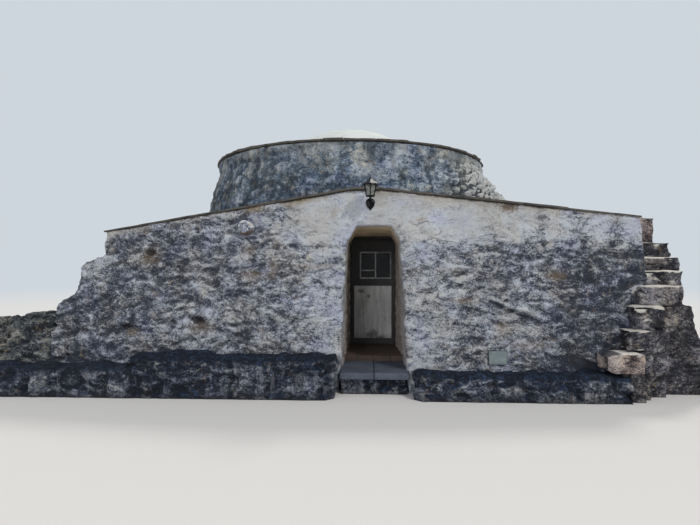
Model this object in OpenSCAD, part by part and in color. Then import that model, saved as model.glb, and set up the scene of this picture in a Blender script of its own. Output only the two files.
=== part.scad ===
// Trullo house: a battered rubble block with a sloping roof, a round drum tier above it and a
// shallow plastered dome over one corbelled room. The origin is on the ground, on the middle line
// of the doorway, level with the middle of the room. The front looks along -Y.

/* [Lower block] */
// Foot of the front wall, forward of the middle of the room
front_y = 3850; // [3700:10:4100]
// Foot of the back wall, behind the middle of the room
back_y = 3800; // [3600:10:4200]
// Foot of the left wall, from the middle of the doorway
left_x = 4080; // [3950:10:4300]
// Foot of the right wall, from the middle of the doorway
right_x = 3900; // [3850:10:4000]
// How far the front and back walls lean in over each metre of height
front_lean = 105; // [60:5:120]
// How far the side walls lean in over each metre of height
side_lean = 70; // [40:5:100]
// Height of the masonry at the left end of the front
left_eave_h = 2255; // [2150:5:2400]
// Height of the masonry at the right end of the front
right_eave_h = 2440; // [2300:5:2550]
// Height of the masonry at the flat peak of the front
peak_h = 2855; // [2760:5:2950]
// Left end of the flat peak, from the middle of the doorway
peak_left = 300; // [200:10:500]
// Right end of the flat peak, from the middle of the doorway
peak_right = 90; // [50:10:400]

/* [Room and vault] */
// How far the room and drum stand left of the doorway's middle
room_left = 500; // [400:10:600]
// Radius of the round room
room_r = 1900; // [1800:10:2000]
// Height at which the corbelled vault springs
spring_h = 2100; // [2050:10:2200]
// Thickness of the masonry over the top of the vault
crown_t = 350; // [300:10:420]
// Number of corbelled courses in the vault
courses = 14; // [10:1:16]
// Height of the room floor above the lowest ground
floor_h = 390; // [340:5:420]

/* [Drum and dome] */
// Height of the drum's masonry above the peak of the front wall
drum_rise = 910; // [850:5:1000]
// Radius of the drum at the height of the block's roof
drum_foot_r = 2930; // [2880:10:3000]
// Radius of the drum at its narrow neck under the rim
drum_neck_r = 2730; // [2650:10:2800]
// Radius of the drum at its rim, under the coping
drum_rim_r = 2760; // [2700:10:2830]
// How far the drum's rough right side spreads at its foot
drum_flare = 420; // [0:10:450]
// Width of the coping slabs round the rim
rim_coping_w = 390; // [300:10:500]
// How far each coping stands out from the wall below it
coping_out = 30; // [15:5:60]
// Thickness of each coping
coping_t = 35; // [25:1:60]
// Depth of the coping along the front wall
front_coping_d = 280; // [200:10:400]
// Thickness of the roof paving
paving_t = 30; // [20:1:45]
// Radius of the sphere that the dome is part of
dome_r = 2100; // [2050:10:2200]
// How far the middle of that sphere lies below the top of the drum
dome_sink = 1245; // [1200:5:1290]
// Radius of the slab that closes the vault
capstone_r = 520; // [480:10:600]
// Thickness of the slab that closes the vault
capstone_t = 130; // [100:5:150]

/* [Doorway] */
// Half width of the passage at its foot
way_foot = 478; // [460:2:500]
// Half width of the passage at waist height
way_waist = 428; // [410:2:450]
// Half width of the passage where its head springs
way_spring = 380; // [360:2:400]
// Half width of the flat head
way_flat = 230; // [200:5:260]
// Height of the waist
way_waist_h = 1300; // [1200:10:1500]
// Height at which the head springs
way_spring_h = 2095; // [2060:5:2130]
// Height of the flat head
way_head_h = 2345; // [2300:5:2370]
// How far the passage runs in from the foot of the front wall to the door frame
way_depth = 1650; // [1600:10:1700]
// Half width of the passage at the door frame
way_back = 383; // [375:1:395]
// Half width of its flat head there
way_back_flat = 318; // [290:2:340]
// Height at which its head springs there
way_back_spring_h = 2122; // [2090:2:2150]
// Height of its flat head there
way_back_head_h = 2240; // [2220:5:2270]
// Height of the front threshold slabs
sill_h = 310; // [260:5:330]
// Thickness of the front threshold slabs
sill_t = 90; // [60:5:110]
// How far the threshold slabs stand out from the foot of the front wall
sill_out = 170; // [100:10:250]
// Length of the threshold slabs into the passage, from their nosing
sill_l = 820; // [700:10:900]
// Joint between the two threshold slabs
sill_joint = 6; // [3:1:12]

/* [Door] */
// Width of the door leaf
leaf_w = 720; // [680:5:740]
// Height of the door leaf
leaf_h = 1790; // [1750:5:1800]
// Thickness of the door leaf
leaf_t = 45; // [38:1:50]
// Running gap round the door leaf
leaf_gap = 6; // [5:1:8]
// Width of the door frame's posts
post_w = 75; // [60:5:90]
// Depth of the door frame
post_d = 60; // [52:1:80]
// Height of the leaf's bottom rail
bottom_rail_h = 95; // [70:5:130]
// Height from the leaf's foot to the underside of its middle rail
mid_rail_z = 1000; // [900:10:1020]
// Height of the middle rail
mid_rail_h = 120; // [90:5:140]
// Height of the window in the leaf
window_h = 465; // [420:5:480]
// Width of the window in the leaf
window_w = 540; // [480:5:560]
// Width of the leaf's stile beside the window, on the lock side
lock_stile_w = 42; // [35:1:60]
// Width of the stiles beside the lower sheet
stile_w = 40; // [35:1:60]
// Thickness of the lower sheet
sheet_t = 4; // [2:1:8]
// Width of the glazing bars
bar_w = 22; // [16:1:30]
// Thickness of the window glass
pane_t = 4; // [3:1:6]
// Radius of the hinge pins
pin_r = 6; // [5:0.5:7]
// Radius of the hinge knuckles
knuckle_r = 12; // [11:0.5:13]
// Height of each hinge knuckle
knuckle_h = 45; // [35:1:60]

/* [Outside masonry] */
// Height of the bench left of the doorway
bench_left_h = 560; // [500:10:600]
// Height of the bench's far left stretch
bench_low_h = 410; // [360:10:450]
// Height of the bench right of the doorway
bench_right_h = 350; // [320:10:370]
// Depth of the benches at the foot
bench_d = 430; // [380:10:500]
// Gap between the doorway's middle and each bench
bench_start = 510; // [500:5:560]
// Left end of the left bench, from the doorway's middle
bench_left_end = 5600; // [5200:10:5900]
// Where the left bench steps down, from the doorway's middle
bench_step_x = 3300; // [2900:10:3700]
// Depth of the buttress at the left corner, front to back
buttress_d = 1400; // [1000:10:1800]
// Height of the buttress's shoulder
buttress_h = 1810; // [1700:10:1900]
// Height of the buttress's lower ledge
ledge_h = 1260; // [1200:10:1320]
// Left foot of the buttress, from the doorway's middle
buttress_x = 4700; // [4650:10:4800]
// Left end of the garden wall, from the doorway's middle
garden_end = 6000; // [5700:10:6400]
// Height of the garden wall where it meets the buttress
garden_h = 1110; // [1000:10:1150]
// How far the garden wall's top falls to its end
garden_fall = 190; // [100:10:250]
// Thickness of the garden wall
garden_t = 400; // [300:10:500]

/* [Stair] */
// Width of the upper flight, measured from the wall's right foot
flight_w = 520; // [450:10:560]
// How far one stone reaches under the next
tread_lap = 60; // [40:5:80]

/* [Fittings] */
// Left edge of the utility cover, from the doorway's middle
cover_x = 1578; // [1400:10:1700]
// Foot of the utility cover
cover_z = 400; // [380:10:500]
// Width of the utility cover
cover_w = 249; // [200:1:300]
// Height of the utility cover
cover_h = 180; // [150:1:220]
// Thickness of the utility cover
cover_t = 22; // [15:1:30]
// Middle of the jutting stone, left of the doorway's middle
stone_x = 1830; // [1700:10:1900]
// How far the middle of the jutting stone lies below the roof line
stone_drop = 315; // [280:5:400]
// Length of the jutting stone
stone_l = 190; // [150:5:230]
// Middle of the lantern, left of the doorway's middle
lantern_x = 50; // [0:5:90]
// How far the lantern's tray lies below the peak of the front wall
lantern_drop = 127; // [95:2:155]
// How far the lantern's middle stands from the foot of the front wall
lantern_in = 50; // [40:5:70]
// Height of the lantern's glass
lantern_h = 160; // [140:5:180]
// Radius of the lantern's glass at the foot
lantern_foot_r = 62; // [55:1:70]
// Radius of the lantern's glass at the head
lantern_head_r = 92; // [85:1:98]

/* [Hidden] */
// Tiny play where one piece is bedded on or against another
seat = 0.3;
// Slack for cutting shapes, well past what they cut
slack = 500;
// Reach of a cutting wedge, past every corner of the house
reach = left_x + right_x + slack;
// Smoothness of large round walls
round_fn = 160;
metre = 1000;
lean_angle = atan(front_lean / metre);
drum_h = peak_h + drum_rise;
dome_z = drum_h - dome_sink;
top_h = dome_z + dome_r;
vault_rise = top_h - crown_t - spring_h;
lantern_z = peak_h - lantern_drop;
room_x = -room_left;
door_y = -(front_y - way_depth);
door_x = -10;
recess_half = leaf_w / 2 + leaf_gap + post_w;
recess_h = floor_h + leaf_h + 2 * leaf_gap + post_w + 30;
recess_d = 900;
course_h = vault_rise / courses;
vault_top = spring_h + (courses - 1) * course_h;
roof_line = [[-left_x - slack, eave_z(-left_x, -1)], [-peak_left, peak_h], [peak_right, peak_h],
    [right_x + slack, eave_z(right_x, 1)]];
// Colours of the pieces
limewash = "#c9c6c0";
rubble = "#8d8b88";
dark_stone = "#5f5c57";
plaster = "#eceae2";
floor_stone = "#6f6a66";
dark_metal = "#26282b";
sheet_metal = "#9b9c9a";
cover_green = "#9aa39a";

// Y of the front wall's face at height z
function front_face(z) = -front_y + front_lean * z / metre;
// X of the left and right walls' faces at height z
function left_face(z) = -left_x + side_lean * z / metre;
function right_face(z) = right_x - side_lean * z / metre;
// Height of the roof line where it is carried on past the end walls
function left_slope() = (peak_h - left_eave_h) / (-peak_left - left_face(left_eave_h));
function right_slope() = (peak_h - right_eave_h) / (right_face(right_eave_h) - peak_right);
function eave_z(x, side) = side < 0
    ? left_eave_h - left_slope() * (left_face(left_eave_h) - x + slack)
    : right_eave_h - right_slope() * (x + slack - right_face(right_eave_h));
// Clear radius of the vault at the foot of course i, as a quarter ellipse
function vault_r(i) = room_r * sqrt(1 - pow(i / courses, 2));
// Height of the block's top at x
function roof_h(x) = x < 0 ? peak_h - left_slope() * max(0, -peak_left - x)
    : peak_h - right_slope() * max(0, x - peak_right);
// Points of the roof line raised by up
function raised(up) = [for (p = roof_line) [p[0], p[1] + up]];
function reversed(list) = [for (i = [len(list) - 1:-1:0]) list[i]];

// Extrudes an outline drawn in X and Z along Y, from y0 to y1
module along_y(y0, y1) {
    translate([0, y1, 0]) rotate([90, 0, 0]) linear_extrude(y1 - y0) children();
}

// Extrudes an outline drawn in Y and Z along X, from x0 to x1
module along_x(x0, x1) {
    translate([x0, 0, 0]) rotate([90, 0, 90]) linear_extrude(x1 - x0) children();
}

module box(x0, x1, y0, y1, z0, z1) {
    translate([x0, y0, z0]) cube([x1 - x0, y1 - y0, z1 - z0]);
}

// A wedge round the room's middle from angle a0 to a1
module wedge(a0, a1) {
    translate([room_x, 0, -slack])
        linear_extrude(top_h + 2 * slack)
            polygon([[0, 0], [reach * cos(a0), reach * sin(a0)],
                [reach * cos((a0 + a1) / 2), reach * sin((a0 + a1) / 2)],
                [reach * cos(a1), reach * sin(a1)]]);
}

// Space between the leaning front and back planes
module leaning_slab(h) {
    along_x(-reach, reach)
        polygon([[-front_y, 0], [back_y, 0], [back_y - front_lean * h / metre, h],
            [front_face(h), h]]);
}

// The whole lower block with nothing cut from it
module block_mass() {
    intersection() {
        leaning_slab(top_h);
        along_y(-reach, reach)
            polygon([[left_face(0), 0], [right_face(0), 0], [right_face(right_eave_h), right_eave_h],
                [peak_right, peak_h], [-peak_left, peak_h], [left_face(left_eave_h), left_eave_h]]);
    }
}

// The room with its stepped vault
module room_void() {
    translate([room_x, 0, -slack]) cylinder(r = room_r, h = spring_h + slack, $fn = round_fn);
    for (i = [0:courses - 2])
        translate([room_x, 0, spring_h + i * course_h])
            cylinder(r = vault_r(i + 1), h = course_h, $fn = round_fn);
}

// Outline of the passage about x, seen from the front
module way_outline(x, foot, waist, spring, flat, spring_z, head_z) {
    polygon([[x - foot, -slack], [x - foot, 0], [x - waist, way_waist_h], [x - spring, spring_z],
        [x - flat, head_z], [x + flat, head_z], [x + spring, spring_z], [x + waist, way_waist_h],
        [x + foot, 0], [x + foot, -slack]]);
}

module way_mouth() {
    way_outline(0, way_foot, way_waist, way_spring, way_flat, way_spring_h, way_head_h);
}

// The passage, eight-sided at its mouth and nearly square at the door frame
module passage_void() {
    along_y(-front_y - slack, -front_y) way_mouth();
    hull() {
        along_y(-front_y - seat, -front_y) way_mouth();
        along_y(door_y - seat, door_y)
            way_outline(door_x, way_back, way_back, way_back, way_back_flat, way_back_spring_h,
                way_back_head_h);
    }
}

// The square recess behind the passage, which holds the frame and leads into the room
module recess_void() {
    box(door_x - recess_half, door_x + recess_half, door_y, door_y + recess_d, -slack, recess_h);
}

module block_piece(a0, a1) {
    difference() {
        intersection() {
            block_mass();
            wedge(a0, a1);
        }
        room_void();
    }
}

// The stones that span the passage, from its springing up, and those that span the recess behind
lintel_half = 650;
module lintel_zone() {
    box(-lintel_half, lintel_half, -reach, door_y, way_spring_h, top_h);
}

module inner_lintel_zone() {
    box(-lintel_half, lintel_half, door_y, 0, recess_h, top_h);
}

module front_half(x0, x1) {
    color(limewash)
        difference() {
            intersection() {
                block_piece(225, 315);
                box(x0, x1, -reach, 0, -slack, top_h);
            }
            passage_void();
            recess_void();
            lintel_zone();
            inner_lintel_zone();
        }
}

module front_wall_left() {
    front_half(-reach, 0);
}

module front_wall_right() {
    front_half(0, reach);
}

module front_wall_over_door() {
    color(limewash)
        difference() {
            intersection() {
                block_piece(225, 315);
                lintel_zone();
            }
            passage_void();
        }
}

module inner_lintel() {
    color(rubble)
        intersection() {
            block_piece(225, 315);
            inner_lintel_zone();
        }
}

module left_wall() {
    color(rubble) block_piece(135, 225);
}

module right_wall() {
    color(rubble) block_piece(-45, 45);
}

module back_wall() {
    color(rubble) block_piece(45, 135);
}

// Corner thickening left of the front wall
buttress_shoulder_x = 4250;
buttress_lean_x = 4340;
buttress_ledge_x = 4550;
buttress_neck_h = 1330;
module left_buttress() {
    color(rubble)
        intersection() {
            leaning_slab(top_h);
            along_y(-reach, -front_y + buttress_d)
                polygon([[left_face(0), 0], [left_face(buttress_h + 90), buttress_h + 90],
                    [-buttress_shoulder_x, buttress_h], [-buttress_lean_x, buttress_neck_h],
                    [-buttress_ledge_x, ledge_h], [-buttress_x, 0]]);
        }
}

// X of the buttress's outer face at height z, below its ledge
function buttress_face(z) = -buttress_x + (buttress_x - buttress_ledge_x) * z / ledge_h;

module garden_wall() {
    color(rubble)
        intersection() {
            leaning_slab(top_h);
            along_y(-reach, -front_y + garden_t)
                polygon([[buttress_face(0), 0], [buttress_face(garden_h), garden_h],
                    [-garden_end, garden_h - garden_fall], [-garden_end, 0]]);
        }
}

// A bench along the front wall from x0 to x1, its front rounded over in two slopes
bench_lip = 60;
module bench(x0, x1, h) {
    along_x(x0, x1)
        polygon([[-front_y - bench_d, 0], [-front_y, 0], [front_face(h), h],
            [-front_y - bench_d + 2 * bench_lip, h], [-front_y - bench_d + bench_lip / 2, h - bench_lip],
            [-front_y - bench_d, h - 3 * bench_lip]]);
}

// Plan of a bench with its corners cut back
bench_corner = 130;
module bench_plan(x0, x1) {
    linear_extrude(metre)
        polygon([[x0 + bench_corner, -front_y - bench_d], [x1 - bench_corner, -front_y - bench_d],
            [x1, -front_y - bench_d + bench_corner], [x1, 0], [x0, 0],
            [x0, -front_y - bench_d + bench_corner]]);
}

module bench_left() {
    color(dark_stone)
        intersection() {
            union() {
                bench(-bench_step_x, -bench_start, bench_left_h);
                bench(-bench_left_end, -bench_step_x, bench_low_h);
            }
            bench_plan(-bench_left_end, -bench_start);
        }
}

// Right end of the right bench, where the stair begins
bench_right_end = 3300;
module bench_right() {
    color(dark_stone)
        intersection() {
            bench(bench_start, bench_right_end, bench_right_h);
            bench_plan(bench_start, bench_right_end + 2 * bench_corner);
        }
}

// Each stone step: left side, right side, front and top
flight_out = right_x + flight_w;
flight_in = right_x - 160;
steps = [
    [2970, 3480, -4200, 630],
    [3330, 3620, -4060, 910],
    [3460, right_x, -3930, 1215],
    [3620, flight_out - 240, -3790, 1480],
    [flight_in, flight_out - 80, -3570, 1680],
    [flight_in, flight_out - 20, -3350, 1880],
    [flight_in, flight_out, -3130, 2100],
    [flight_in, flight_out - 90, -2900, 2490]
];
flight_back = -2450;
// Back of step i: in front of the wall the first three run to the wall
function step_back(i) = i < 2 ? -front_y + slack
    : i == len(steps) - 1 ? flight_back : steps[i + 1][2] + tread_lap;
function step_foot(i) = i == 0 ? bench_right_h : steps[i - 1][3];

module step_box(i, foot, top) {
    s = steps[i];
    box(s[0], s[1], s[2], step_back(i), foot, top);
}

module step(i) {
    color(rubble)
        difference() {
            step_box(i, step_foot(i), steps[i][3]);
            block_mass();
        }
}

module step_1() { step(0); }
module step_2() { step(1); }
module step_3() { step(2); }
module step_4() { step(3); }
module step_5() { step(4); }
module step_6() { step(5); }
module step_7() { step(6); }
module step_8() { step(7); }

// The rubble mass under the steps, spreading a little at its foot
flight_spread = 170;
module stair_base() {
    color(rubble)
        difference() {
            union() {
                for (i = [0:len(steps) - 1]) step_box(i, 0, step_foot(i));
                intersection() {
                    along_y(steps[3][2], flight_back)
                        polygon([[right_face(0) - slack, 0], [flight_out + flight_spread, 0],
                            [flight_out - 100, steps[2][3]], [right_face(0) - slack, steps[2][3]]]);
                    box(steps[3][0], reach, -reach, reach, 0, steps[2][3]);
                }
            }
            for (i = [0:len(steps) - 1]) step_box(i, step_foot(i), steps[i][3]);
            block_mass();
            bench(0, bench_right_end, bench_right_h);
        }
}

// A layer of the given thickness that lies on the sloping block top
module roof_layer(thick, y0, y1, out) {
    intersection() {
        along_y(y0, y1) polygon(concat(raised(seat), reversed(raised(seat + thick))));
        box(left_face(left_eave_h) - out, right_face(right_eave_h) + out, -reach, reach, 0, top_h);
    }
}

module front_coping() {
    color(dark_stone)
        roof_layer(coping_t, front_face(peak_h) - coping_out, front_face(peak_h) + front_coping_d,
            coping_out);
}

module roof_paving() {
    color(rubble)
        difference() {
            roof_layer(paving_t, front_face(peak_h) + front_coping_d + seat,
                back_y - front_lean * peak_h / metre, 0);
            drum_form(0, 360, seat);
            flared_form(seat);
            translate([room_x, 0, 0]) cylinder(r = room_r, h = top_h, $fn = round_fn);
        }
}

// Outline of the drum's outer face, from below the roof to the rim
drum_low = left_eave_h - 350;
drum_belly_h = peak_h + drum_rise * 0.4;
drum_neck_h = drum_h - 215;
drum_belly_r = (drum_foot_r + drum_neck_r) / 2 + 20;
drum_line = [[drum_low, drum_foot_r + (peak_h - drum_low) * front_lean / metre], [peak_h, drum_foot_r],
    [drum_belly_h, drum_belly_r], [drum_neck_h, drum_neck_r], [drum_h, drum_rim_r]];
core_r = room_r / 4;

module drum_form(a0, turn, play) {
    translate([room_x, 0, 0])
        rotate([0, 0, a0])
            rotate_extrude(angle = turn, $fn = round_fn)
                polygon(concat([[core_r, drum_low]], [for (p = drum_line) [p[1] + play, p[0]]],
                    [[core_r, drum_h]]));
}

// Spread of the right side at height z, where its bare stones slump outwards
spread_line = [[0, 1], [0.215, 0.845], [0.48, 0.535], [0.64, 0.3], [0.765, 0.2], [1, 0]];
spread_h = [for (p = spread_line) peak_h + p[0] * drum_rise];
function spread(z) = drum_flare * lookup((z - peak_h) / drum_rise, spread_line);
// A point of the right side at angle a and height z
function flared(a, z, play) = let (r = lookup(z, drum_line) + spread(z) * sin(2 * (a + 45)) + play)
    [r * cos(a), r * sin(a), z];

// The right quarter of the drum, lofted ring by ring
flare_step = 5;
module flared_form(play) {
    rings = concat([drum_low], spread_h);
    angles = [for (a = [-45:flare_step:45]) a];
    n = len(angles);
    m = len(rings);
    outer = [for (z = rings) for (a = angles) flared(a, z, play)];
    low = n * m;
    sides = [for (i = [0:m - 2]) for (j = [0:n - 2])
        for (f = [[i * n + j, i * n + n + j, i * n + n + j + 1], [i * n + j, i * n + n + j + 1, i * n + j + 1]]) f];
    ends = [concat([low, low + 1], [for (i = [m - 1:-1:0]) i * n]),
        concat([low + 1, low], [for (i = [0:m - 1]) i * n + n - 1])];
    caps = [concat([low], [for (j = [0:n - 1]) j]),
        concat([low + 1], [for (j = [n - 1:-1:0]) (m - 1) * n + j])];
    translate([room_x, 0, 0])
        polyhedron(concat(outer, [[0, 0, drum_low], [0, 0, drum_h]]), concat(sides, ends, caps));
}

module drum_quarter(a0) {
    color(limewash)
        difference() {
            drum_form(a0, 90, 0);
            block_mass();
            room_void();
        }
}

module drum_front() { drum_quarter(225); }
module drum_right() {
    color(rubble)
        difference() {
            flared_form(0);
            block_mass();
            room_void();
        }
}
module drum_back() { drum_quarter(45); }
module drum_left() { drum_quarter(135); }

module drum_coping() {
    color(dark_stone)
        translate([room_x, 0, drum_h + seat])
            difference() {
                cylinder(r = drum_rim_r + coping_out, h = coping_t, $fn = round_fn);
                translate([0, 0, -slack])
                    cylinder(r = drum_rim_r + coping_out - rim_coping_w, h = 2 * slack, $fn = round_fn);
            }
}

module capstone_form(r, t) {
    translate([room_x, 0, vault_top]) cylinder(r = r, h = t, $fn = round_fn);
}

module dome_half(y0, y1) {
    color(plaster)
        difference() {
            intersection() {
                translate([room_x, 0, dome_z]) sphere(r = dome_r, $fn = round_fn);
                box(-reach, reach, y0, y1, drum_h, top_h + slack);
            }
            room_void();
            capstone_form(capstone_r, capstone_t);
        }
}

module dome_front() { dome_half(-reach, 0); }
module dome_back() { dome_half(0, reach); }

module capstone() {
    color(rubble) capstone_form(capstone_r - seat, capstone_t);
}

module room_floor() {
    color(floor_stone)
        translate([room_x, 0, 0]) cylinder(r = room_r - seat, h = floor_h, $fn = round_fn);
}

sill_front = -front_y - sill_out;
sill_back = sill_front + sill_l;
module passage_floor() {
    color(floor_stone)
        difference() {
            union() {
                intersection() {
                    union() {
                        passage_void();
                        recess_void();
                    }
                    box(-reach, reach, sill_back, 0, 0, floor_h);
                }
                intersection() {
                    passage_void();
                    box(-reach, reach, sill_front + sill_t, sill_back, 0, sill_h - sill_t);
                }
            }
            room_void();
        }
}

module threshold_slabs() {
    color("#77787a")
        difference() {
            intersection() {
                passage_void();
                box(-reach, reach, sill_front, sill_back, sill_h - sill_t, sill_h);
            }
            box(-sill_joint / 2, sill_joint / 2, -reach, 0, 0, top_h);
        }
}

// Places a piece on the leaning front wall, its back on the face
module on_front(x, z) {
    translate([x, front_face(z) - seat, z]) rotate([-lean_angle, 0, 0]) children();
}

module jutting_stone() {
    color(limewash)
        on_front(-stone_x, roof_h(-stone_x) - stone_drop)
            rotate([90, 0, 0]) cylinder(r1 = 120, r2 = 88, h = stone_l, $fn = 40);
}

module utility_cover() {
    rim = 12;
    corner = 14;
    color(cover_green)
        on_front(cover_x + cover_w / 2, cover_z + cover_h / 2)
            rotate([90, 0, 0])
                difference() {
                    linear_extrude(cover_t) rounded(cover_w, cover_h, corner);
                    translate([0, 0, cover_t - 5])
                        difference() {
                            linear_extrude(cover_t) rounded(cover_w - 2 * rim, cover_h - 2 * rim, corner);
                            translate([0, 0, -cover_t])
                                linear_extrude(3 * cover_t)
                                    rounded(cover_w - 3 * rim, cover_h - 3 * rim, corner / 2);
                        }
                }
}

// A rectangle about the origin with round corners
module rounded(w, h, r) {
    square([w - 2 * r, h], center = true);
    square([w, h - 2 * r], center = true);
    for (sx = [-1, 1])
        for (sz = [-1, 1])
            translate([sx * (w / 2 - r), sz * (h / 2 - r)]) circle(r = r, $fn = 32);
}

// Places of the leaf and its hinges
leaf_left = door_x - leaf_w / 2;
leaf_right = door_x + leaf_w / 2;
leaf_foot = floor_h + 10;
leaf_top = leaf_foot + leaf_h;
frame_back = door_y + post_d;
leaf_front = frame_back - leaf_t;
hinge_x = leaf_left - leaf_gap / 2;
hinge_y = frame_back + knuckle_r + 1;
hinge_inset = 230;
hinge_feet = [leaf_foot + hinge_inset, leaf_top - hinge_inset - 2 * knuckle_h];
knuckle_gap = 0.4;
pin_play = 0.5;
plate_t = 5;
plate_w = 32;

module door_frame() {
    color(dark_metal) {
        difference() {
            box(door_x - recess_half, door_x + recess_half, door_y, frame_back, floor_h, recess_h);
            box(leaf_left - leaf_gap, leaf_right + leaf_gap, -reach, 0, -slack, leaf_top + leaf_gap);
        }
        for (z = hinge_feet) {
            translate([hinge_x, hinge_y, z]) cylinder(r = knuckle_r, h = knuckle_h, $fn = 40);
            translate([hinge_x, hinge_y, z]) cylinder(r = pin_r, h = 2 * knuckle_h - 4, $fn = 32);
            box(hinge_x - plate_w - leaf_gap, hinge_x, frame_back, frame_back + plate_t, z, z + knuckle_h);
        }
    }
}

sheet_foot = leaf_foot + bottom_rail_h;
sheet_top = leaf_foot + mid_rail_z;
window_foot = sheet_top + mid_rail_h;
window_right = leaf_right - lock_stile_w;
window_left = window_right - window_w;

module door_leaf() {
    upper_foot = knuckle_h + knuckle_gap;
    color(dark_metal) {
        difference() {
            box(leaf_left, leaf_right, leaf_front, frame_back, leaf_foot, leaf_top);
            box(leaf_left + stile_w, leaf_right - stile_w, -reach, 0, sheet_foot, sheet_top);
            box(window_left, window_right, -reach, 0, window_foot, window_foot + window_h);
        }
        for (z = hinge_feet)
            difference() {
                union() {
                    translate([hinge_x, hinge_y, z + upper_foot])
                        cylinder(r = knuckle_r, h = knuckle_h, $fn = 40);
                    box(leaf_left + 2, leaf_left + plate_w + leaf_gap, frame_back, frame_back + plate_t,
                        z + upper_foot, z + upper_foot + knuckle_h);
                    box(hinge_x, leaf_left + plate_w / 2, frame_back + 1, frame_back + plate_t,
                        z + upper_foot, z + upper_foot + knuckle_h);
                }
                translate([hinge_x, hinge_y, z]) cylinder(r = pin_r + pin_play, h = 4 * knuckle_h, $fn = 32);
            }
    }
}

leaf_mid = (leaf_front + frame_back) / 2;
module door_sheet() {
    rib_w = 24;
    color(sheet_metal) {
        box(leaf_left + stile_w, leaf_right - stile_w, leaf_mid, leaf_mid + sheet_t, sheet_foot, sheet_top);
        for (k = [1, 2])
            box(leaf_left + stile_w, leaf_right - stile_w, leaf_mid + sheet_t, leaf_mid + sheet_t + 8,
                sheet_foot + k * (sheet_top - sheet_foot) / 3 - rib_w / 2,
                sheet_foot + k * (sheet_top - sheet_foot) / 3 + rib_w / 2);
    }
}

bar_front = leaf_front + 6;
bar_d = 16;
window_bar_z = 0.31;
module glazing_bars() {
    top = window_foot + window_h;
    mid_x = (window_left + window_right) / 2;
    mid_z = window_foot + window_bar_z * window_h;
    color("#77797a") {
        difference() {
            box(window_left, window_right, bar_front, bar_front + bar_d, window_foot, top);
            box(window_left + bar_w, window_right - bar_w, -reach, 0, window_foot + bar_w, top - bar_w);
        }
        box(mid_x - bar_w / 2, mid_x + bar_w / 2, bar_front, bar_front + bar_d, window_foot + bar_w, top - bar_w);
        box(window_left + bar_w, mid_x - bar_w / 2, bar_front, bar_front + bar_d,
            mid_z - bar_w / 2, mid_z + bar_w / 2);
    }
}

module door_glass() {
    color("#20262a")
        box(window_left, window_right, bar_front + bar_d, bar_front + bar_d + pane_t,
            window_foot, window_foot + window_h);
}

// A lock case inside and a round pull outside, on the middle rail
latch_r = 21;
module door_latch() {
    latch_x = leaf_right - 70;
    latch_z = sheet_top + mid_rail_h / 2;
    case_w = 70;
    case_h = 100;
    color(dark_metal) {
        box(latch_x - case_w / 2, latch_x + case_w / 2, frame_back, frame_back + 18,
            latch_z - case_h / 2, latch_z + case_h / 2);
        translate([latch_x, leaf_front, latch_z]) rotate([90, 0, 0]) cylinder(r = latch_r, h = 3, $fn = 32);
    }
}

lantern_y = -front_y + lantern_in;
plate_r = 62;
plate_depth = 12;
arm_r = 9;
arm_bend = 90;
tray_t = 12;
module lantern_bracket() {
    plate_z = lantern_z - plate_r - 12;
    arm_z = plate_z + 30;
    rise = lantern_z - tray_t - arm_z;
    color(dark_metal) {
        on_front(-lantern_x, plate_z)
            rotate([90, 0, 0])
                linear_extrude(plate_depth) {
                    circle(r = plate_r, $fn = 48);
                    polygon([[-plate_r * cos(20), -plate_r * sin(20)], [0, -115],
                        [plate_r * cos(20), -plate_r * sin(20)]]);
                }
        translate([-lantern_x, lantern_y + rise, arm_z])
            rotate([-90, 0, 0])
                cylinder(r = arm_r, h = front_face(arm_z) - lantern_y - rise - plate_depth / 2, $fn = 32);
        translate([-lantern_x, lantern_y + rise, lantern_z - tray_t])
            rotate([0, 90, 0])
                rotate([0, 0, -90])
                    rotate_extrude(angle = 90, $fn = 64)
                        translate([rise, 0]) circle(r = arm_r, $fn = 32);
    }
}

// Six panes between six posts, on a tray, under a six-sided roof
sides = 6;
cage_post_r = 5;
cage_roof_h = 80;
module lantern_cage() {
    lean = atan((lantern_head_r - lantern_foot_r) / lantern_h);
    post_l = lantern_h / cos(lean);
    color(dark_metal)
        translate([-lantern_x, lantern_y, lantern_z]) {
            translate([0, 0, -tray_t]) cylinder(r = lantern_foot_r + 10, h = tray_t, $fn = sides);
            for (i = [0:sides - 1])
                rotate([0, 0, i * 360 / sides])
                    translate([lantern_foot_r + cage_post_r, 0, -2])
                        rotate([0, lean, 0]) cylinder(r = cage_post_r, h = post_l + 4, $fn = 16);
            translate([0, 0, lantern_h]) cylinder(r = lantern_head_r + 18, h = 8, $fn = sides);
            translate([0, 0, lantern_h + 8])
                cylinder(r1 = lantern_head_r + 10, r2 = 14, h = cage_roof_h, $fn = sides);
            translate([0, 0, lantern_h + cage_roof_h + 12]) sphere(r = 14, $fn = 24);
        }
}

module lantern_glass() {
    t = 3;
    color("#b8c4c8")
        translate([-lantern_x, lantern_y, lantern_z])
            difference() {
                cylinder(r1 = lantern_foot_r - seat, r2 = lantern_head_r - seat, h = lantern_h, $fn = sides);
                translate([0, 0, -1])
                    cylinder(r1 = lantern_foot_r - t, r2 = lantern_head_r - t, h = lantern_h + 2, $fn = sides);
            }
}

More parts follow.
